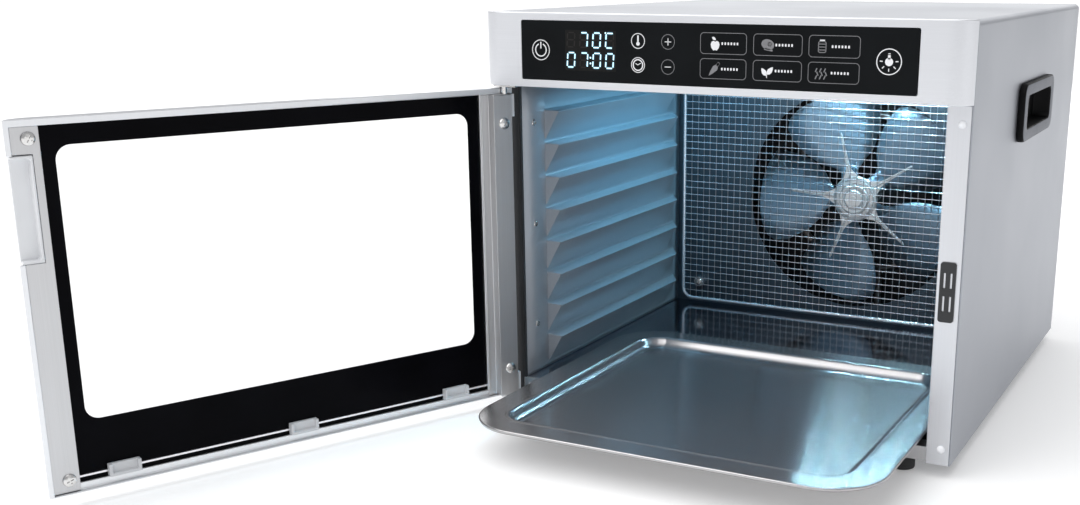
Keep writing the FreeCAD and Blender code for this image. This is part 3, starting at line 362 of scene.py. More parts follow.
def makePiece(name, bm, body, finishName, replaced=(), turn=None, sharp=35):
    if turn is not None:
        bm.transform(turn)
    mesh = bpy.data.meshes.new(name)
    bm.to_mesh(mesh)
    bm.free()
    mesh.materials.append(finish[finishName])
    mesh.shade_smooth()
    mesh.set_sharp_from_angle(angle=math.radians(sharp))
    piece = bpy.data.objects.new(name, mesh)
    bpy.context.scene.collection.objects.link(piece)
    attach(piece, body)
    if replaced:
        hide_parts(*replaced)
    return piece


def outward(bm):
    bmesh.ops.recalc_face_normals(bm, faces=bm.faces)
    return bm


def joined(target, part):
    # adds the part's mesh to the target
    scratch = bpy.data.meshes.new("scratch")
    part.to_mesh(scratch)
    part.free()
    target.from_mesh(scratch)
    bpy.data.meshes.remove(scratch)
    return target


def softened(name, node, width, body, finishName, segments=2, angle=30):
    # a merged copy of the CAD node with a small round on its edges
    bm = bmesh.new()
    bm.from_mesh(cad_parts[node].data)
    bmesh.ops.remove_doubles(bm, verts=bm.verts, dist=0.000002)
    bmesh.ops.dissolve_limit(bm, angle_limit=math.radians(0.6), verts=bm.verts, edges=bm.edges)
    piece = makePiece(name, bm, body, finishName, [node])
    edge = piece.modifiers.new("softEdge", "BEVEL")
    edge.width = width * mm
    edge.segments = segments
    edge.limit_method = "ANGLE"
    edge.angle_limit = math.radians(angle)
    edge.use_clamp_overlap = False
    edge.harden_normals = True
    return piece


def roundedFace(width, height, radius, segments=10):
    # a flat face with rounded corners in the XY plane, in mm
    bm = bmesh.new()
    bmesh.ops.create_grid(bm, x_segments=1, y_segments=1, size=0.5)
    bmesh.ops.scale(bm, vec=(width * mm, height * mm, 1), verts=bm.verts)
    if radius > 0:
        bmesh.ops.bevel(bm, geom=bm.verts[:], offset=radius * mm, offset_type="OFFSET", segments=segments,
                        profile=0.5, affect="VERTICES", material=-1)
    bm.faces.ensure_lookup_table()
    return bm, bm.faces[0]


def nested(loops, segments=8, closeFirst=False):
    # rounded rectangles (width, height, corner radius, up) in mm, skinned one to the next and filled at the last
    bm = bmesh.new()
    rows = []
    for width, height, radius, up in loops:
        row = []
        for sideX, sideY, start in ((1, 1, 0), (-1, 1, 90), (-1, -1, 180), (1, -1, 270)):
            for step in range(segments + 1):
                angle = math.radians(start + 90 * step / segments)
                row.append(bm.verts.new(((sideX * (width / 2 - radius) + radius * math.cos(angle)) * mm,
                                         (sideY * (height / 2 - radius) + radius * math.sin(angle)) * mm, up * mm)))
        rows.append(row)
    for first, second in zip(rows, rows[1:]):
        for here, after in zip(range(len(first)), list(range(1, len(first))) + [0]):
            bm.faces.new((first[here], first[after], second[after], second[here]))
    bm.faces.new(rows[-1])
    if closeFirst:
        bm.faces.new(rows[0][::-1])
    return bm


def lathe(profile, segments=32):
    # spins (radius, height) in mm round Z into a closed shape
    bm = bmesh.new()
    verts = [bm.verts.new((radius * mm, 0, height * mm)) for radius, height in profile]
    edges = [bm.edges.new(pair) for pair in zip(verts, verts[1:])]
    bmesh.ops.spin(bm, geom=verts + edges, cent=(0, 0, 0), axis=(0, 0, 1), angle=math.tau, steps=segments,
                   use_merge=True, use_duplicate=False)
    bmesh.ops.remove_doubles(bm, verts=bm.verts, dist=0.000001)
    return outward(bm)


def facing(direction, place):
    # puts a shape made along +Z so that it points along direction at place
    return Matrix.Translation(place) @ Vector((0, 0, 1)).rotation_difference(Vector(direction)).to_matrix().to_4x4()


def tube(points, radius, sides, closed):
    # a round bar through the points
    curve = bpy.data.curves.new("bar", "CURVE")
    curve.dimensions = "3D"
    curve.bevel_depth = radius * mm
    curve.bevel_resolution = max(1, sides // 4 - 1)
    curve.use_fill_caps = True
    spline = curve.splines.new("POLY")
    spline.points.add(len(points) - 1)
    for point, place in zip(spline.points, points):
        point.co = (*place, 1)
    spline.use_cyclic_u = closed
    holder = bpy.data.objects.new("bar", curve)
    bpy.context.scene.collection.objects.link(holder)
    bpy.context.view_layer.update()
    mesh = bpy.data.meshes.new_from_object(holder.evaluated_get(bpy.context.evaluated_depsgraph_get()))
    bm = bmesh.new()
    bm.from_mesh(mesh)
    bpy.data.objects.remove(holder)
    bpy.data.curves.remove(curve)
    bpy.data.meshes.remove(mesh)
    return outward(bm)


# casing: the CAD sheets with small rounds on their edges
casing = {"shellEdge": 0.35, "panEdge": 0.2, "rearEdge": 0.25, "fasciaEdge": 0.5, "postEdge": 0.6, "trimEdge": 0.4}
softened("outerShell", "outer_shell", casing["shellEdge"], "cabinet", "shellSide")
softened("basePan", "base_pan", casing["panEdge"], "cabinet", "shellSide")
softened("rearPanel", "rear_panel", casing["rearEdge"], "cabinet", "shellSide")
softened("frontFascia", "front_fascia", casing["fasciaEdge"], "cabinet", "fascia", 3)
softened("rightPost", "right_post", casing["postEdge"], "cabinet", "post", 3)
# the left post takes the black finish as painted shade: the dark gap beside the door's hinge strip
softened("leftPost", "left_post", casing["postEdge"], "cabinet", "blackPlastic", 3)
softened("frontSill", "front_sill", casing["trimEdge"], "cabinet", "doorStrip")
softened("postGasket", "post_gasket", casing["trimEdge"], "cabinet", "blackPlastic")
softened("powerInlet", "mains_inlet", casing["trimEdge"], "cabinet", "blackPlastic")
print("casing done")

# cavity: walls with pressed shelves, ceiling, floor and baffle
liner = {"wall": 157.0, "front": 26.0, "ribFront": 59.0, "ribNose": 271.0, "ribRoot": 289.0, "back": 300.0,
         "bottom": 10.0, "top": 234.0, "ribs": 8, "pitch": 24.9, "topNose": 209.4, "reach": 12.0, "drop": 1.7,
         "flat": 1.5, "sheet": 1.0}


def buildLiner(side):
    # pressed shelves: every rib is a ratchet tooth whose ends fall back to the wall
    bm = bmesh.new()
    stations = [(liner["front"], 0.0), (liner["ribFront"] - 1.4, 0.0), (liner["ribFront"] - 0.5, 0.02),
                (liner["ribFront"] + 0.1, 0.97), (liner["ribFront"] + 0.6, 1.0), (liner["ribNose"] - 3, 1.0),
                (liner["ribNose"] + 1, 0.94), (liner["ribRoot"] - 1, 0.04), (liner["ribRoot"] + 1, 0.0),
                (liner["back"], 0.0)]
    outline = [(0.0, liner["bottom"])]
    for index in range(liner["ribs"]):
        nose = liner["topNose"] - (liner["ribs"] - 1 - index) * liner["pitch"]
        root = max(nose - (liner["pitch"] - liner["drop"] - liner["flat"]), liner["bottom"] + 1.0)
        reach = liner["reach"]
        outline += [(0.0, root - 0.5), (0.3, root + 0.4), (reach - 0.35, nose - 1.1), (reach, nose - 0.55),
                    (reach + 0.05, nose - 0.15), (reach - 0.35, nose + 0.1), (1.2, nose + 0.55),
                    (0.35, nose + 0.9), (0.0, nose + 1.7)]
    outline.append((0.0, liner["top"]))
    rows = []
    for depth, share in stations:
        row = [bm.verts.new(at(side * (liner["wall"] - reach * share), depth, height)) for reach, height in outline]
        rows.append([bm.edges.new(pair) for pair in zip(row, row[1:])])
    for first, second in zip(rows, rows[1:]):
        bmesh.ops.bridge_loops(bm, edges=first + second)
    for face in bm.faces:
        face.normal_update()
        if face.normal.x * side > 0.0001:
            face.normal_flip()
    return bm


for side, label in ((-1, "left"), (1, "right")):
    shelfWall = makePiece(label + "Liner", buildLiner(side), "cabinet", "liner",
                          [label + "_liner"], sharp=32)
    sheet = shelfWall.modifiers.new("sheet", "SOLIDIFY")
    sheet.thickness = liner["sheet"] * mm
    sheet.offset = -1.0
softened("cavityCeiling", "cavity_ceiling", 0.3, "cabinet", "liner")
softened("cavityFloor", "cavity_floor", 0.3, "cabinet", "cavityFloor")
# the baffle's dark steel is painted shade
softened("rearBaffle", "rear_baffle", 0.3, "cabinet", "baffle")
softened("lampLens", "lamp_lens", 0.6, "cabinet", "lens", 3)
print("cavity done")

# drip tray
trayShape = {"width": 287.0, "length": 271.0, "x": 10.0, "front": -106.0, "top": 18.9, "corner": 40.0, "sheet": 0.7}


def buildTray():
    # (inwards, up) from the rim's edge: rolled edge, flat rim, bead, groove, slope, soft foot and shallow well
    section = [(0.9, -2.5), (0.35, -1.3), (0.4, -0.5), (0.8, -0.12), (1.4, 0), (17.6, 0), (18.4, 0.12),
               (19.2, 0.42), (20.0, 0.55), (20.8, 0.42), (21.6, -0.1), (22.5, -1.2), (23.8, -3.3), (25.2, -5.3),
               (26.6, -6.5), (28.0, -7.05), (29.6, -7.2), (33.0, -7.2)]
    width, length, corner = trayShape["width"], trayShape["length"], trayShape["corner"]
    bm = nested([(width - 2 * inwards, length - 2 * inwards, max(corner - inwards, 13.0), up)
                 for inwards, up in section], 16)
    bmesh.ops.translate(bm, vec=at(trayShape["x"], trayShape["front"] + trayShape["length"] / 2,
                                   trayShape["top"] - 0.6), verts=bm.verts)
    # the coordinates' first axis runs along the depth, across the brushing
    across = bm.loops.layers.uv.new("grain")
    for face in bm.faces:
        for loop in face.loops:
            loop[across].uv = (loop.vert.co.y, loop.vert.co.x)
    return bm


tray = makePiece("dripTray", buildTray(), "tray", "tray", ["drip_tray"], sharp=50)
wall = tray.modifiers.new("sheet", "SOLIDIFY")
wall.thickness = trayShape["sheet"] * mm
wall.offset = -1.0
print("tray done")

# wire guard
guard = {"front": 293.0, "halfWidth": 149.5, "bottom": 13.0, "top": 229.0, "border": 1.6, "corner": 9.0,
         "pitch": 6.0, "wire": 0.36, "uneven": 0.15, "lean": 0.0012}


def buildGuardWires(across):
    # one layer of wires: the rows lie in front and run across, the columns stand behind them
    bm = bmesh.new()
    rng = Random(4 if across else 5)
    innerX = guard["halfWidth"] - guard["border"]
    low = guard["bottom"] + guard["border"]
    high = guard["top"] - guard["border"]
    length = 2 * innerX if across else high - low
    span = high - low if across else 2 * innerX
    count = int((span - 4) / guard["pitch"])
    turn = Matrix.Rotation(math.pi / 2, 4, "Y") if across else Matrix.Identity(4)
    for index in range(count):
        along = (index - (count - 1) / 2) * guard["pitch"] + rng.uniform(-guard["uneven"], guard["uneven"])
        x, height = (0, (low + high) / 2 + along) if across else (along, (low + high) / 2)
        middle = at(x, guard["front"] + guard["wire"] * (-1 if across else 1), height)
        lean = Matrix.Rotation(rng.uniform(-guard["lean"], guard["lean"]), 4, "Y")
        bmesh.ops.create_cone(bm, cap_ends=True, segments=6, radius1=guard["wire"] * mm, radius2=guard["wire"] * mm,
                              depth=length * mm, matrix=Matrix.Translation(middle) @ lean @ turn)
    return bm


def buildGuardBorder():
    reach = guard["halfWidth"] - guard["border"]
    low = guard["bottom"] + guard["border"]
    high = guard["top"] - guard["border"]
    r = guard["corner"]
    points = []
    for cx, cz, start in ((reach - r, low + r, 270), (reach - r, high - r, 0), (-reach + r, high - r, 90),
                          (-reach + r, low + r, 180)):
        for step in range(9):
            angle = math.radians(start + step * 90 / 8)
            points.append(at(cx + r * math.cos(angle), guard["front"], cz + r * math.sin(angle)))
    return tube(points, guard["border"], 16, True)


makePiece("guardRows", buildGuardWires(True), "cabinet", "wire", ["guard_mesh"], sharp=60)
# the columns are the same wire as the rows, drawn darker as painted shade
makePiece("guardColumns", buildGuardWires(False), "cabinet", "shadedWire", sharp=60)
makePiece("guardBorder", buildGuardBorder(), "cabinet", "wire", ["guard_frame"], sharp=60)
print("guard done")

# screws
screwShape = {"bigRadius": 4.2, "bigHeight": 2.0, "smallRadius": 2.6, "smallHeight": 1.4, "guardRadius": 3.2,
              "guardHeight": 1.4, "guardWasher": 4.6, "rearRadius": 3.6, "rearHeight": 2.2}


def buildScrew(radius, height, washer=0.0):
    # a domed head with a cross recess
    profile = [(0, height), (radius * 0.35, height * 0.98), (radius * 0.68, height * 0.86),
               (radius * 0.9, height * 0.6), (radius, height * 0.25), (radius, 0), (0, 0)]
    head = lathe(profile, 28)
    cutter = bmesh.new()
    for turn in (0, 90):
        arm = bmesh.new()
        bmesh.ops.create_cube(arm, size=1)
        bmesh.ops.scale(arm, vec=(radius * 1.05 * mm, radius * 0.2 * mm, height * mm), verts=arm.verts)
        bmesh.ops.translate(arm, vec=(0, 0, height * mm), verts=arm.verts)
        bmesh.ops.rotate(arm, matrix=Matrix.Rotation(math.radians(turn + 20), 3, "Z"), verts=arm.verts)
        joined(cutter, arm)
    solids = []
    for label, bm in (("head", head), ("cutter", cutter)):
        mesh = bpy.data.meshes.new(label)
        bm.to_mesh(mesh)
        bm.free()
        holder = bpy.data.objects.new(label, mesh)
        bpy.context.scene.collection.objects.link(holder)
        solids.append(holder)
    cut = solids[0].modifiers.new("cross", "BOOLEAN")
    cut.operation = "DIFFERENCE"
    cut.solver = "EXACT"
    cut.use_self = True
    cut.object = solids[1]
    bpy.context.view_layer.update()
    result = bpy.data.meshes.new_from_object(solids[0].evaluated_get(bpy.context.evaluated_depsgraph_get()))
    bm = bmesh.new()
    bm.from_mesh(result)
    for holder in solids:
        bpy.data.objects.remove(holder)
    if washer > 0:
        bmesh.ops.translate(bm, vec=(0, 0, 0.6 * mm), verts=bm.verts)
        joined(bm, lathe([(0, 0.6), (washer - 0.2, 0.6), (washer, 0.4), (washer, 0), (0, 0)], 28))
    return bm


def placeScrews(name, body, node, head, places, direction, turn=None):
    bm = bmesh.new()
    for index, place in enumerate(places):
        one = head.copy()
        one.transform(facing(direction(place) if callable(direction) else direction, place)
                      @ Matrix.Rotation(index * 0.7, 4, "Z"))
        joined(bm, one)
    return makePiece(name, bm, body, "screw", [node], turn, 25)


bigHead = buildScrew(screwShape["bigRadius"], screwShape["bigHeight"])
smallHead = buildScrew(screwShape["smallRadius"], screwShape["smallHeight"])
guardHead = buildScrew(screwShape["guardRadius"], screwShape["guardHeight"], screwShape["guardWasher"])
rearHead = buildScrew(screwShape["rearRadius"], screwShape["rearHeight"])
stripX = -168.8 + 19 * 0.5 + 1.0  # the hinge strip's edge, half its width, and a little to the right
placeScrews("doorScrews", "door", "door_screws", bigHead,
            [at(159.2, 7, 9), at(159.2, 7, 218.4), at(stripX, 14, 22), at(stripX, 14, 205)], (0, 1, 0), doorTurn)
placeScrews("linerScrews", "cabinet", "liner_screws", smallHead,
            [at(side * 157, 42.5, height) for side in (-1, 1) for height in (48, 126, 202)],
            lambda place: (-1 if place.x > 0 else 1, 0, 0))
placeScrews("guardScrews", "cabinet", "guard_screws", guardHead,
            [at(side * 132, 292.1, height) for side in (-1, 1) for height in (30.5, 211.5)], (0, -1, 0))
placeScrews("rearScrews", "cabinet", "rear_screws", rearHead,
            [at(x, 386, height) for x in (-163.5, 0, 163.5) for height in (9, 273)], (0, 1, 0))
print("screws done")

# carry handles
handle = {"depth": 205.0, "centre": 214.0, "side": 172.5}


def buildHandle(side):
    # (length, height, corner, out of the side): cup behind the side, lip in front of it, and the deep mouth
    bm = nested([(107.6, 34.6, 7.6, -9.4), (107.6, 34.6, 7.6, 0.1), (113.6, 40.6, 9.0, 0.1), (114, 41, 9.2, 0.5),
                 (114, 41, 9.2, 2.6), (113.7, 40.7, 9.0, 3.7), (112.9, 39.9, 8.6, 4.5), (111.6, 38.6, 8.0, 4.9),
                 (110.0, 37.0, 7.4, 5.0), (92.6, 25.6, 5.6, 5.0), (91.4, 24.4, 5.3, 4.8), (90.6, 23.6, 5.1, 4.3),
                 (90.2, 23.2, 5.0, 3.4), (89.2, 22.2, 4.7, -6.4), (87.6, 20.6, 4.2, -7.5), (85.0, 18.0, 3.6, -7.8)],
                8, True)
    # the loops' X runs along the depth, their Y upwards and their Z out of the side
    upright = Matrix(((0, 0, side, 0), (1, 0, 0, 0), (0, 1, 0, 0), (0, 0, 0, 1)))
    bm.transform(Matrix.Translation(at(side * handle["side"], handle["depth"], handle["centre"])) @ upright)
    return outward(bm)


for side, label in ((1, "right"), (-1, "left")):
    makePiece(label + "Handle", buildHandle(side), "cabinet", "handlePlastic",
              [label + "_carry_handle"], sharp=40)
print("handles done")

# feet, bumpers and catch
footPlace = {"x": 138.5, "y": 173.0}
footProfile = [(0, 9), (7.9, 9), (8.3, 8.7), (8.5, 8.0), (8.5, 1.2), (8.2, 0.4), (7.5, 0.02), (0, 0.0)]
feet = bmesh.new()
for sideX in (-1, 1):
    for sideY in (-1, 1):
        foot = lathe(footProfile, 36)
        bmesh.ops.translate(foot, vec=(sideX * footPlace["x"] * mm, sideY * footPlace["y"] * mm, 0),
                            verts=foot.verts)
        joined(feet, foot)
makePiece("rubberFeet", feet, "cabinet", "rubber", ["feet"])

bumper = {"x": 166, "depth": 9.25, "heights": (11.0, 220.8)}
bumpers = bmesh.new()
for height in bumper["heights"]:
    dot = lathe([(0, 1.9), (1.2, 1.8), (2.1, 1.3), (2.55, 0.6), (2.6, 0), (0, 0)], 28)
    dot.transform(facing((0, -1, 0), at(bumper["x"], bumper["depth"], height)))
    joined(bumpers, dot)
makePiece("doorBumpers", bumpers, "cabinet", "softWhite", ["door_bumpers"])
softened("catchPlate", "catch_plate", 0.35, "cabinet", "blackPlastic", 3)
print("small fittings done")

# fan
fan = {"x": 11.0, "height": 118.0, "hubFront": 302.0, "blades": 5, "firstBlade": 112.0, "armLag": 7.0,
       "pitch": 18.0, "sheet": 0.9}
fanPlace = at(fan["x"], fan["hubFront"], fan["height"])
# the outline is (radius, chord) in mm, and the chord's positive side is the leading edge
bladeOutline = [(24, -8), (28, -13), (35, -24), (47, -33), (61, -38.5), (74, -42), (82, -41.5), (88, -30),
                (92, -14), (93, 2), (92, 16), (89, 28), (84.5, 36), (77, 40.5), (66, 39.5), (54, 34), (44, 28),
                (36, 20.5), (30, 12), (24, 8)]


def buildBlades():
    bm = bmesh.new()
    for index in range(fan["blades"]):
        blade = bmesh.new()
        verts = [blade.verts.new((r * mm, 0, c * mm)) for r, c in bladeOutline]
        blade.faces.new(verts)
        bmesh.ops.triangulate(blade, faces=blade.faces)
        bmesh.ops.subdivide_edges(blade, edges=blade.edges, cuts=3, use_grid_fill=True)
        # cambered paddle with a pressed rib along its middle
        for vert in blade.verts:
            chord = vert.co.z / mm
            reach = vert.co.x / mm
            rib = 1.1 * max(0.0, 1 - abs(chord) / 3.2) * max(0.0, 1 - abs(reach - 44) / 22)
            vert.co.y = (5.0 * (chord / 42) ** 2 - 2.2 * (reach / 93) ** 2 - rib) * mm
        bmesh.ops.rotate(blade, matrix=Matrix.Rotation(math.radians(fan["pitch"]), 3, "X"), verts=blade.verts)
        bmesh.ops.translate(blade, vec=(0, 13.5 * mm, 0), verts=blade.verts)
        neck = bmesh.new()
        bmesh.ops.create_grid(neck, x_segments=6, y_segments=4, size=0.5)
        bmesh.ops.rotate(neck, matrix=Matrix.Rotation(math.pi / 2, 3, "X"), verts=neck.verts)
        bmesh.ops.scale(neck, vec=(24 * mm, 1, 15 * mm), verts=neck.verts)
        bmesh.ops.translate(neck, vec=(20 * mm, 0, 0), verts=neck.verts)
        for vert in neck.verts:
            along = min(1.0, max(0.0, (vert.co.x / mm - 12) / 18))
            smooth = along * along * (3 - 2 * along)
            tilt = vert.co.z * math.tan(math.radians(fan["pitch"])) * -smooth
            vert.co.y = (13.3 * smooth * mm) + tilt + 0.4 * mm
        joined(blade, neck)
        turn = Matrix.Rotation(-math.radians(fan["firstBlade"] + index * 72), 4, "Y")
        blade.transform(Matrix.Translation(fanPlace + Vector((0, 2 * mm, 0))) @ turn)
        joined(bm, blade)
    return outward(bm)


def buildSpider():
    bm = bmesh.new()
    for index in range(fan["blades"]):
        arm = bmesh.new()
        outline = [(17, -7.5), (21, -5.2), (25, -2.6), (30, -1.5), (45, -1.1), (57, -0.8), (58.5, 0), (57, 0.8),
                   (45, 1.1), (30, 1.5), (25, 2.6), (21, 5.2), (17, 7.5)]
        verts = [arm.verts.new((r * mm, 0, c * mm)) for r, c in outline]
        face = arm.faces.new(verts)
        bmesh.ops.extrude_face_region(arm, geom=[face])
        arm.faces.ensure_lookup_table()
        top = max(arm.faces, key=lambda f: len(f.verts))
        bmesh.ops.translate(arm, vec=(0, -1.0 * mm, 0), verts=top.verts)
        ridge = bmesh.new()
        lying = Matrix.Translation((37 * mm, -0.9 * mm, 0)) @ Matrix.Rotation(math.pi / 2, 4, "Y")
        bmesh.ops.create_cone(ridge, cap_ends=True, segments=10, radius1=0.9 * mm, radius2=0.5 * mm, depth=42 * mm,
                              matrix=lying)
        joined(arm, ridge)
        turn = Matrix.Rotation(-math.radians(fan["firstBlade"] - fan["armLag"] + index * 72), 4, "Y")
        arm.transform(Matrix.Translation(fanPlace + Vector((0, 1.6 * mm, 0))) @ turn)
        joined(bm, outward(arm))
    disc = lathe([(0, 0), (18.5, 0), (19.3, -0.5), (20, -1.4), (20, -2), (0, -2)], 64)
    disc.transform(facing((0, -1, 0), fanPlace))
    return joined(bm, disc)


fanBlades = makePiece("fanBlades", buildBlades(), "fan", "blade", ["fan_blades"], sharp=50)
bladeWall = fanBlades.modifiers.new("sheet", "SOLIDIFY")
bladeWall.thickness = fan["sheet"] * mm
makePiece("fanSpider", buildSpider(), "fan", "hub", ["fan_spider"])
hubRings = [(0, 4.4), (1.4, 4.4), (1.6, 3.8), (2.6, 3.8), (2.9, 4.3), (7.4, 4.3), (8.0, 3.8), (8.2, 3.0),
            (9.0, 2.8), (9.6, 3.2), (12.0, 3.2), (12.6, 2.6), (12.8, 1.6), (13.6, 1.3), (14.2, 1.9), (16.6, 1.9),
            (17.3, 1.5), (17.5, 0.8), (17.5, 0), (0, 0)]
hubCap = lathe(hubRings, 64)
hubCap.transform(facing((0, -1, 0), fanPlace))
makePiece("hubCap", hubCap, "fan", "hub", ["hub_cap"])
print("fan done")

# control panel
panel = {"face": -0.3, "powerKey": (-124, 258), "dialX": -49.2, "stepX": -27.2, "lampKey": (121.4, 257.5),
         "keyColumns": ((-4.1, 28.3), (32.8, 65.7), (69.8, 103.1)), "keyRows": ((258.8, 272.4), (243.0, 256.0)),
         "keyCorner": 2.6, "line": 0.35}


class Marks:
    # flat marks on the panel, in mm, that share one mesh
    def __init__(self):
        self.bm = bmesh.new()

    def place(self, part, x, height, turn=0.0):
        part.transform(Matrix.Translation((x * mm, height * mm, 0)) @ Matrix.Rotation(math.radians(turn), 4, "Z"))
        joined(self.bm, part)

    def disc(self, x, height, rx, rz=None, segments=32, turn=0.0):
        part = bmesh.new()
        bmesh.ops.create_circle(part, cap_ends=True, radius=mm, segments=segments)
        bmesh.ops.scale(part, vec=(rx, rz or rx, 1), verts=part.verts)
        self.place(part, x, height, turn)

    def ring(self, x, height, radius, line, gapAt=None, gap=0.0, segments=48):
        part = bmesh.new()
        bmesh.ops.create_circle(part, cap_ends=True, radius=radius * mm, segments=segments)
        part.faces.ensure_lookup_table()
        inner = part.faces[0]
        bmesh.ops.inset_region(part, faces=[inner], thickness=line * mm, depth=0, use_boundary=True)
        bmesh.ops.delete(part, geom=[inner], context="FACES_ONLY")
        if gapAt is not None:
            lost = []
            for face in part.faces:
                middle = face.calc_center_median()
                away = (math.degrees(math.atan2(middle.y, middle.x)) - gapAt + 180) % 360 - 180
                if abs(away) < gap:
                    lost.append(face)
            bmesh.ops.delete(part, geom=lost, context="FACES")
        self.place(part, x, height)

    def bar(self, x, height, width, tall, turn=0.0, corner=0.0):
        self.place(roundedFace(width, tall, corner, 4)[0], x, height, turn)

    def frame(self, x, height, width, tall, corner, line):
        part, face = roundedFace(width, tall, corner, 8)
        bmesh.ops.inset_region(part, faces=[face], thickness=line * mm, depth=0, use_boundary=True)
        bmesh.ops.delete(part, geom=[face], context="FACES_ONLY")
        self.place(part, x, height)

    def shape(self, x, height, points, turn=0.0):
        part = bmesh.new()
        part.faces.new([part.verts.new((px * mm, pz * mm, 0)) for px, pz in points])
        self.place(part, x, height, turn)

    def finished(self, depth, thick):
        bm = self.bm
        for face in bm.faces:
            if face.normal.z < 0:
                face.normal_flip()
        grown = bmesh.ops.extrude_face_region(bm, geom=bm.faces[:])["geom"]
        verts = [part for part in grown if isinstance(part, bmesh.types.BMVert)]
        bmesh.ops.translate(bm, vec=(0, 0, thick * mm), verts=verts)
        bm.transform(Matrix.Translation(at(0, depth, 0)) @ Matrix.Rotation(math.pi / 2, 4, "X"))
        return outward(bm)


bright = Marks()
dim = Marks()
lit = Marks()
unlit = Marks()
glow = Marks()

# power key
powerX, powerHeight = panel["powerKey"]
bright.ring(powerX, powerHeight, 7.0, 0.55)
bright.ring(powerX, powerHeight, 4.6, 0.8, 90, 22)
bright.bar(powerX, powerHeight + 3.2, 0.9, 4.6, 0, 0.3)
# temperature key
dialX = panel["dialX"]
bright.ring(dialX, 265.8, 5.1, 0.5)
bright.bar(dialX, 267.2, 1.1, 4.6, 0, 0.5)
bright.disc(dialX, 264.0, 1.3)
# timer key
bright.ring(dialX, 250.1, 5.1, 0.5)
bright.ring(dialX, 250.1, 3.9, 0.8)
bright.bar(dialX - 0.9, 250.6, 2.0, 0.5, -30)
bright.bar(dialX + 1.0, 250.8, 2.4, 0.5, 30)
# plus and minus
for height in (265.7, 249.5):
    dim.ring(panel["stepX"], height, 4.9, panel["line"])
    bright.bar(panel["stepX"], height, 4.6, 0.5)
bright.bar(panel["stepX"], 265.7, 0.5, 4.6)
# lamp key
lampX, lampHeight = panel["lampKey"]
bright.ring(lampX, lampHeight, 8.0, 0.6)
bright.disc(lampX, lampHeight - 0.1, 2.5)
bright.bar(lampX, lampHeight + 2.7, 1.7, 2.6, 0, 0.3)
bright.bar(lampX, lampHeight + 4.8, 1.5, 0.5)
for angle in range(-184, 5, 47):
    ray = math.radians(angle)
    bright.bar(lampX + 4.9 * math.cos(ray), lampHeight - 0.1 + 4.9 * math.sin(ray), 1.8, 0.6, angle)

# six programme keys, each with a picture and a row of dots
for left, right in panel["keyColumns"]:
    for low, high in panel["keyRows"]:
        dim.frame((left + right) / 2, (low + high) / 2, right - left, high - low, panel["keyCorner"], panel["line"])
        for step in range(6):
            bright.bar(left + 15.5 + step * 2.1, (low + high) / 2, 1.1, 1.7, 0, 0.4)


def leaf(marks, x, height, size, turn):
    outline = [(-1, 0), (-0.55, 0.42), (0, 0.52), (0.6, 0.3), (1, 0), (0.6, -0.3), (0, -0.52), (-0.55, -0.42)]
    marks.shape(x, height, [(px * size, pz * size) for px, pz in outline], turn)


# apple
bright.shape(6.4, 264.3, [(-2.6, 2.2), (-3.1, 0.6), (-2.6, -1.6), (-1.2, -3.2), (0, -2.9), (1.2, -3.2),
                          (2.6, -1.6), (3.1, 0.6), (2.6, 2.2), (1.2, 2.9), (0, 2.3), (-1.2, 2.9)])
leaf(bright, 5.6, 268.6, 1.7, -35)
# cut of meat
dim.disc(42.6, 265.8, 4.4, 3.2, 32, -14)
bright.ring(43.8, 266.0, 1.3, 0.5)
dim.bar(43.0, 262.6, 6.0, 1.2, -10, 0.5)
# jar
dim.frame(78.6, 265.2, 5.4, 7.2, 1.4, 0.5)
for height in (263.4, 265.2, 267.0):
    dim.bar(78.6, height, 4.8, 0.5)
bright.bar(78.6, 269.3, 3.4, 0.7, 0, 0.3)
# carrot
dim.shape(5.6, 248.8, [(-5.2, 0), (-2.0, 1.2), (1.6, 1.9), (3.2, 1.2), (3.4, 0), (3.2, -1.2), (1.6, -1.9),
                       (-2.0, -1.2)], 48)
for turn in (20, 50, 80):
    leaf(dim, 8.6, 252.4, 1.6, turn)
# leaves
leaf(bright, 40.4, 248.6, 3.0, 125)
leaf(bright, 44.4, 249.4, 3.2, 50)
bright.bar(42.3, 246.3, 0.5, 2.6)
# rising warmth
for offset in (-2.8, 0, 2.8):
    for step in range(3):
        bend = 1 if step % 2 else -1
        dim.bar(78.4 + offset + 0.45 * bend, 246.6 + step * 2.2, 0.7, 2.7, 24 * bend, 0.3)

# display digits
display = {"x": -100.2, "gap": 9.9, "upper": 260.6, "lower": 247.2, "wide": 5.6, "tall": 9.6,
           "lean": 4.0}
segmentsOn = {"0": "abcdef", "7": "abc", "C": "adef", " ": ""}


def digit(marks, x, height, wide, tall, on, line):
    halfTall = tall / 2
    lean = display["lean"]
    spots = {"a": (0, tall, wide - 1.3, 0), "d": (0, 0, wide - 1.3, 0), "g": (0, halfTall, wide - 1.3, 0),
             "f": (-wide / 2, tall * 0.75, halfTall - 1.1, 1), "b": (wide / 2, tall * 0.75, halfTall - 1.1, 1),
             "e": (-wide / 2, tall * 0.25, halfTall - 1.1, 1), "c": (wide / 2, tall * 0.25, halfTall - 1.1, 1)}
    for key, (dx, dz, length, upright) in spots.items():
        if key in on:
            slant = (dz - halfTall) * math.tan(math.radians(lean))
            turn = 90 - lean if upright else 0
            marks.bar(x + dx + slant, height + dz, length, line, turn, 0.4)


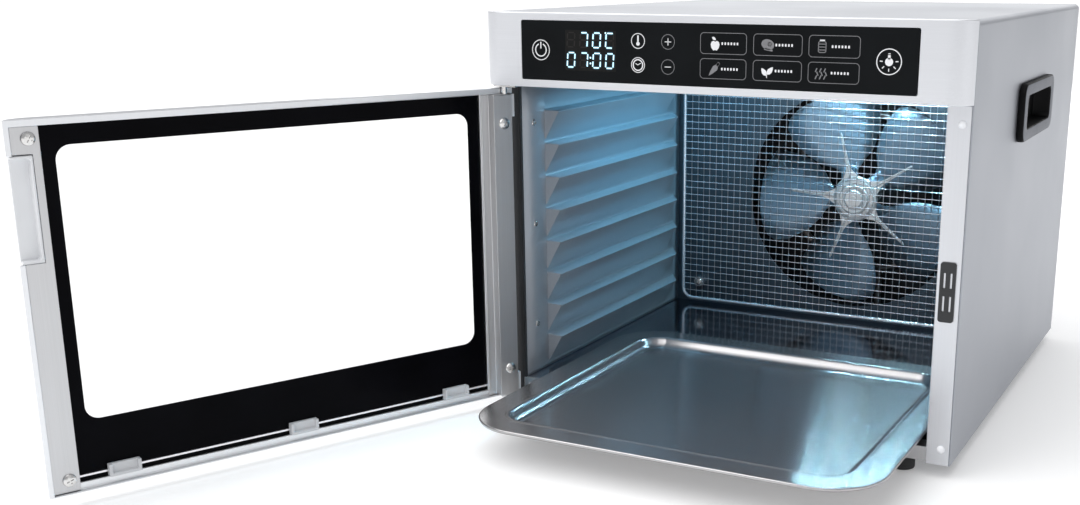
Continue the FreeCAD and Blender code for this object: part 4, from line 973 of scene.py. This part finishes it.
for column, upper, lower in ((0, " ", "0"), (1, "7", "7"), (2, "0", "0"), (3, "C", "0")):
    x = display["x"] + column * display["gap"]
    for height, mark in ((display["upper"], upper), (display["lower"], lower)):
        on = segmentsOn[mark]
        off = "".join(key for key in "abcdefg" if key not in on)
        for marks, keys, line in ((unlit, off, 0.8), (lit, on, 0.8), (glow, on, 1.9)):
            digit(marks, x, height, display["wide"], display["tall"], keys, line)
lit.disc(-73.6, 270.4, 0.6)
for height in (250.0, 253.8):
    lit.disc(-85.2, height, 0.6)
displayPlate = roundedFace(39.0, 27.0, 0.6, 3)[0]
displayPlate.transform(Matrix.Translation(at(-85.2, -0.305, 258.4)) @ Matrix.Rotation(math.pi / 2, 4, "X"))
makePiece("displayWindow", displayPlate, "cabinet", "displayBack")
makePiece("displayGlow", glow.finished(-0.31, 0.01), "cabinet", "litHalo")
makePiece("unlitSegments", unlit.finished(-0.32, 0.03), "cabinet", "unlit")
makePiece("litSegments", lit.finished(-0.32, 0.05), "cabinet", "lit")
makePiece("brightMarks", bright.finished(panel["face"], 0.06), "cabinet", "print")
makePiece("dimMarks", dim.finished(panel["face"], 0.06), "cabinet", "dimPrint")
softened("controlGlass", "control_glass", 0.25, "cabinet", "panelGlass")
print("panel done")

# door
doorFit = {"stripStandBack": 3.6, "foldedFrom": -0.1662}
softened("doorFrame", "door_frame", 0.5, "door", "doorFrame", 3)
softened("latchStrip", "latch_strip", 0.3, "door", "doorStrip")
hingeStrip = softened("hingeStrip", "hinge_strip", 0.6, "door", "doorStrip", 3)
# the folded edge beside the cabinet stands back, so the dark gap shows
stripBack = doorTurn.inverted()
for vert in hingeStrip.data.vertices:
    place = stripBack @ vert.co
    if place.x < doorFit["foldedFrom"]:
        place.x += doorFit["stripStandBack"] * mm
        vert.co = doorTurn @ place
softened("glassClips", "glass_clips", 0.5, "door", "greyPlastic", 3)
softened("fingerPull", "finger_pull", 0.45, "door", "whitePlastic", 3)
print("door done")

# finishes on the CAD nodes that stay
plainFinish = {
    "guard_spacers": "wire", "foot_screws": "screw", "motor_screws": "screw", "hinge_pins": "screw",
    "hinge_plates": "screw", "fan_housing": "housing", "motor_shaft": "hub", "motor_rotor": "hub",
    "motor_bearings": "hub", "door_glass": "doorGlass", "glass_mask": "borderPrint",
    "display_module": "displayBack", "control_board": "board", "power_board": "board",
    "thermal_cutout": "blackPlastic", "hinge_blocks": "greyPlastic", "heater_ring": "heater",
    "heater_clips": "heater", "temperature_probe": "wire", "motor_body": "motor", "catch_magnet": "magnet",
    "cavity_lamp": "lens", "glass_wire": "wire",
}
for node, finishName in plainFinish.items():
    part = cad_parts[node]
    part.data.materials.clear()
    part.data.materials.append(finish[finishName])
print("finishes done")

# floor
studioFloor = {"radius": 60.0, "drop": 0.0005, "glow": 0.2}
floorMesh = bmesh.new()
bmesh.ops.create_circle(floorMesh, cap_ends=True, radius=studioFloor["radius"], segments=96)
floorData = bpy.data.meshes.new("floor")
floorMesh.to_mesh(floorData)
floorMesh.free()
floorMaterial, floorTree, floorShader, floorCoords = startMaterial("studioFloor")
floorTone = noiseNode(floorTree, floorCoords, 3.0, 3.0)
floorTree.links.new(rampNode(floorTree, floorTone, (0.90, 0.90, 0.90), (0.92, 0.92, 0.92)),
                    floorShader.inputs["Base Color"])
floorShader.inputs["Emission Color"].default_value = (1, 1, 1, 1)
floorShader.inputs["Emission Strength"].default_value = studioFloor["glow"]
floorShader.inputs["Roughness"].default_value = 0.85
floorShader.inputs["Specular IOR Level"].default_value = 0.1
floorData.materials.append(floorMaterial)
floor = bpy.data.objects.new("floor", floorData)
floor.location.z = -studioFloor["drop"]
bpy.context.scene.collection.objects.link(floor)
print("floor done")
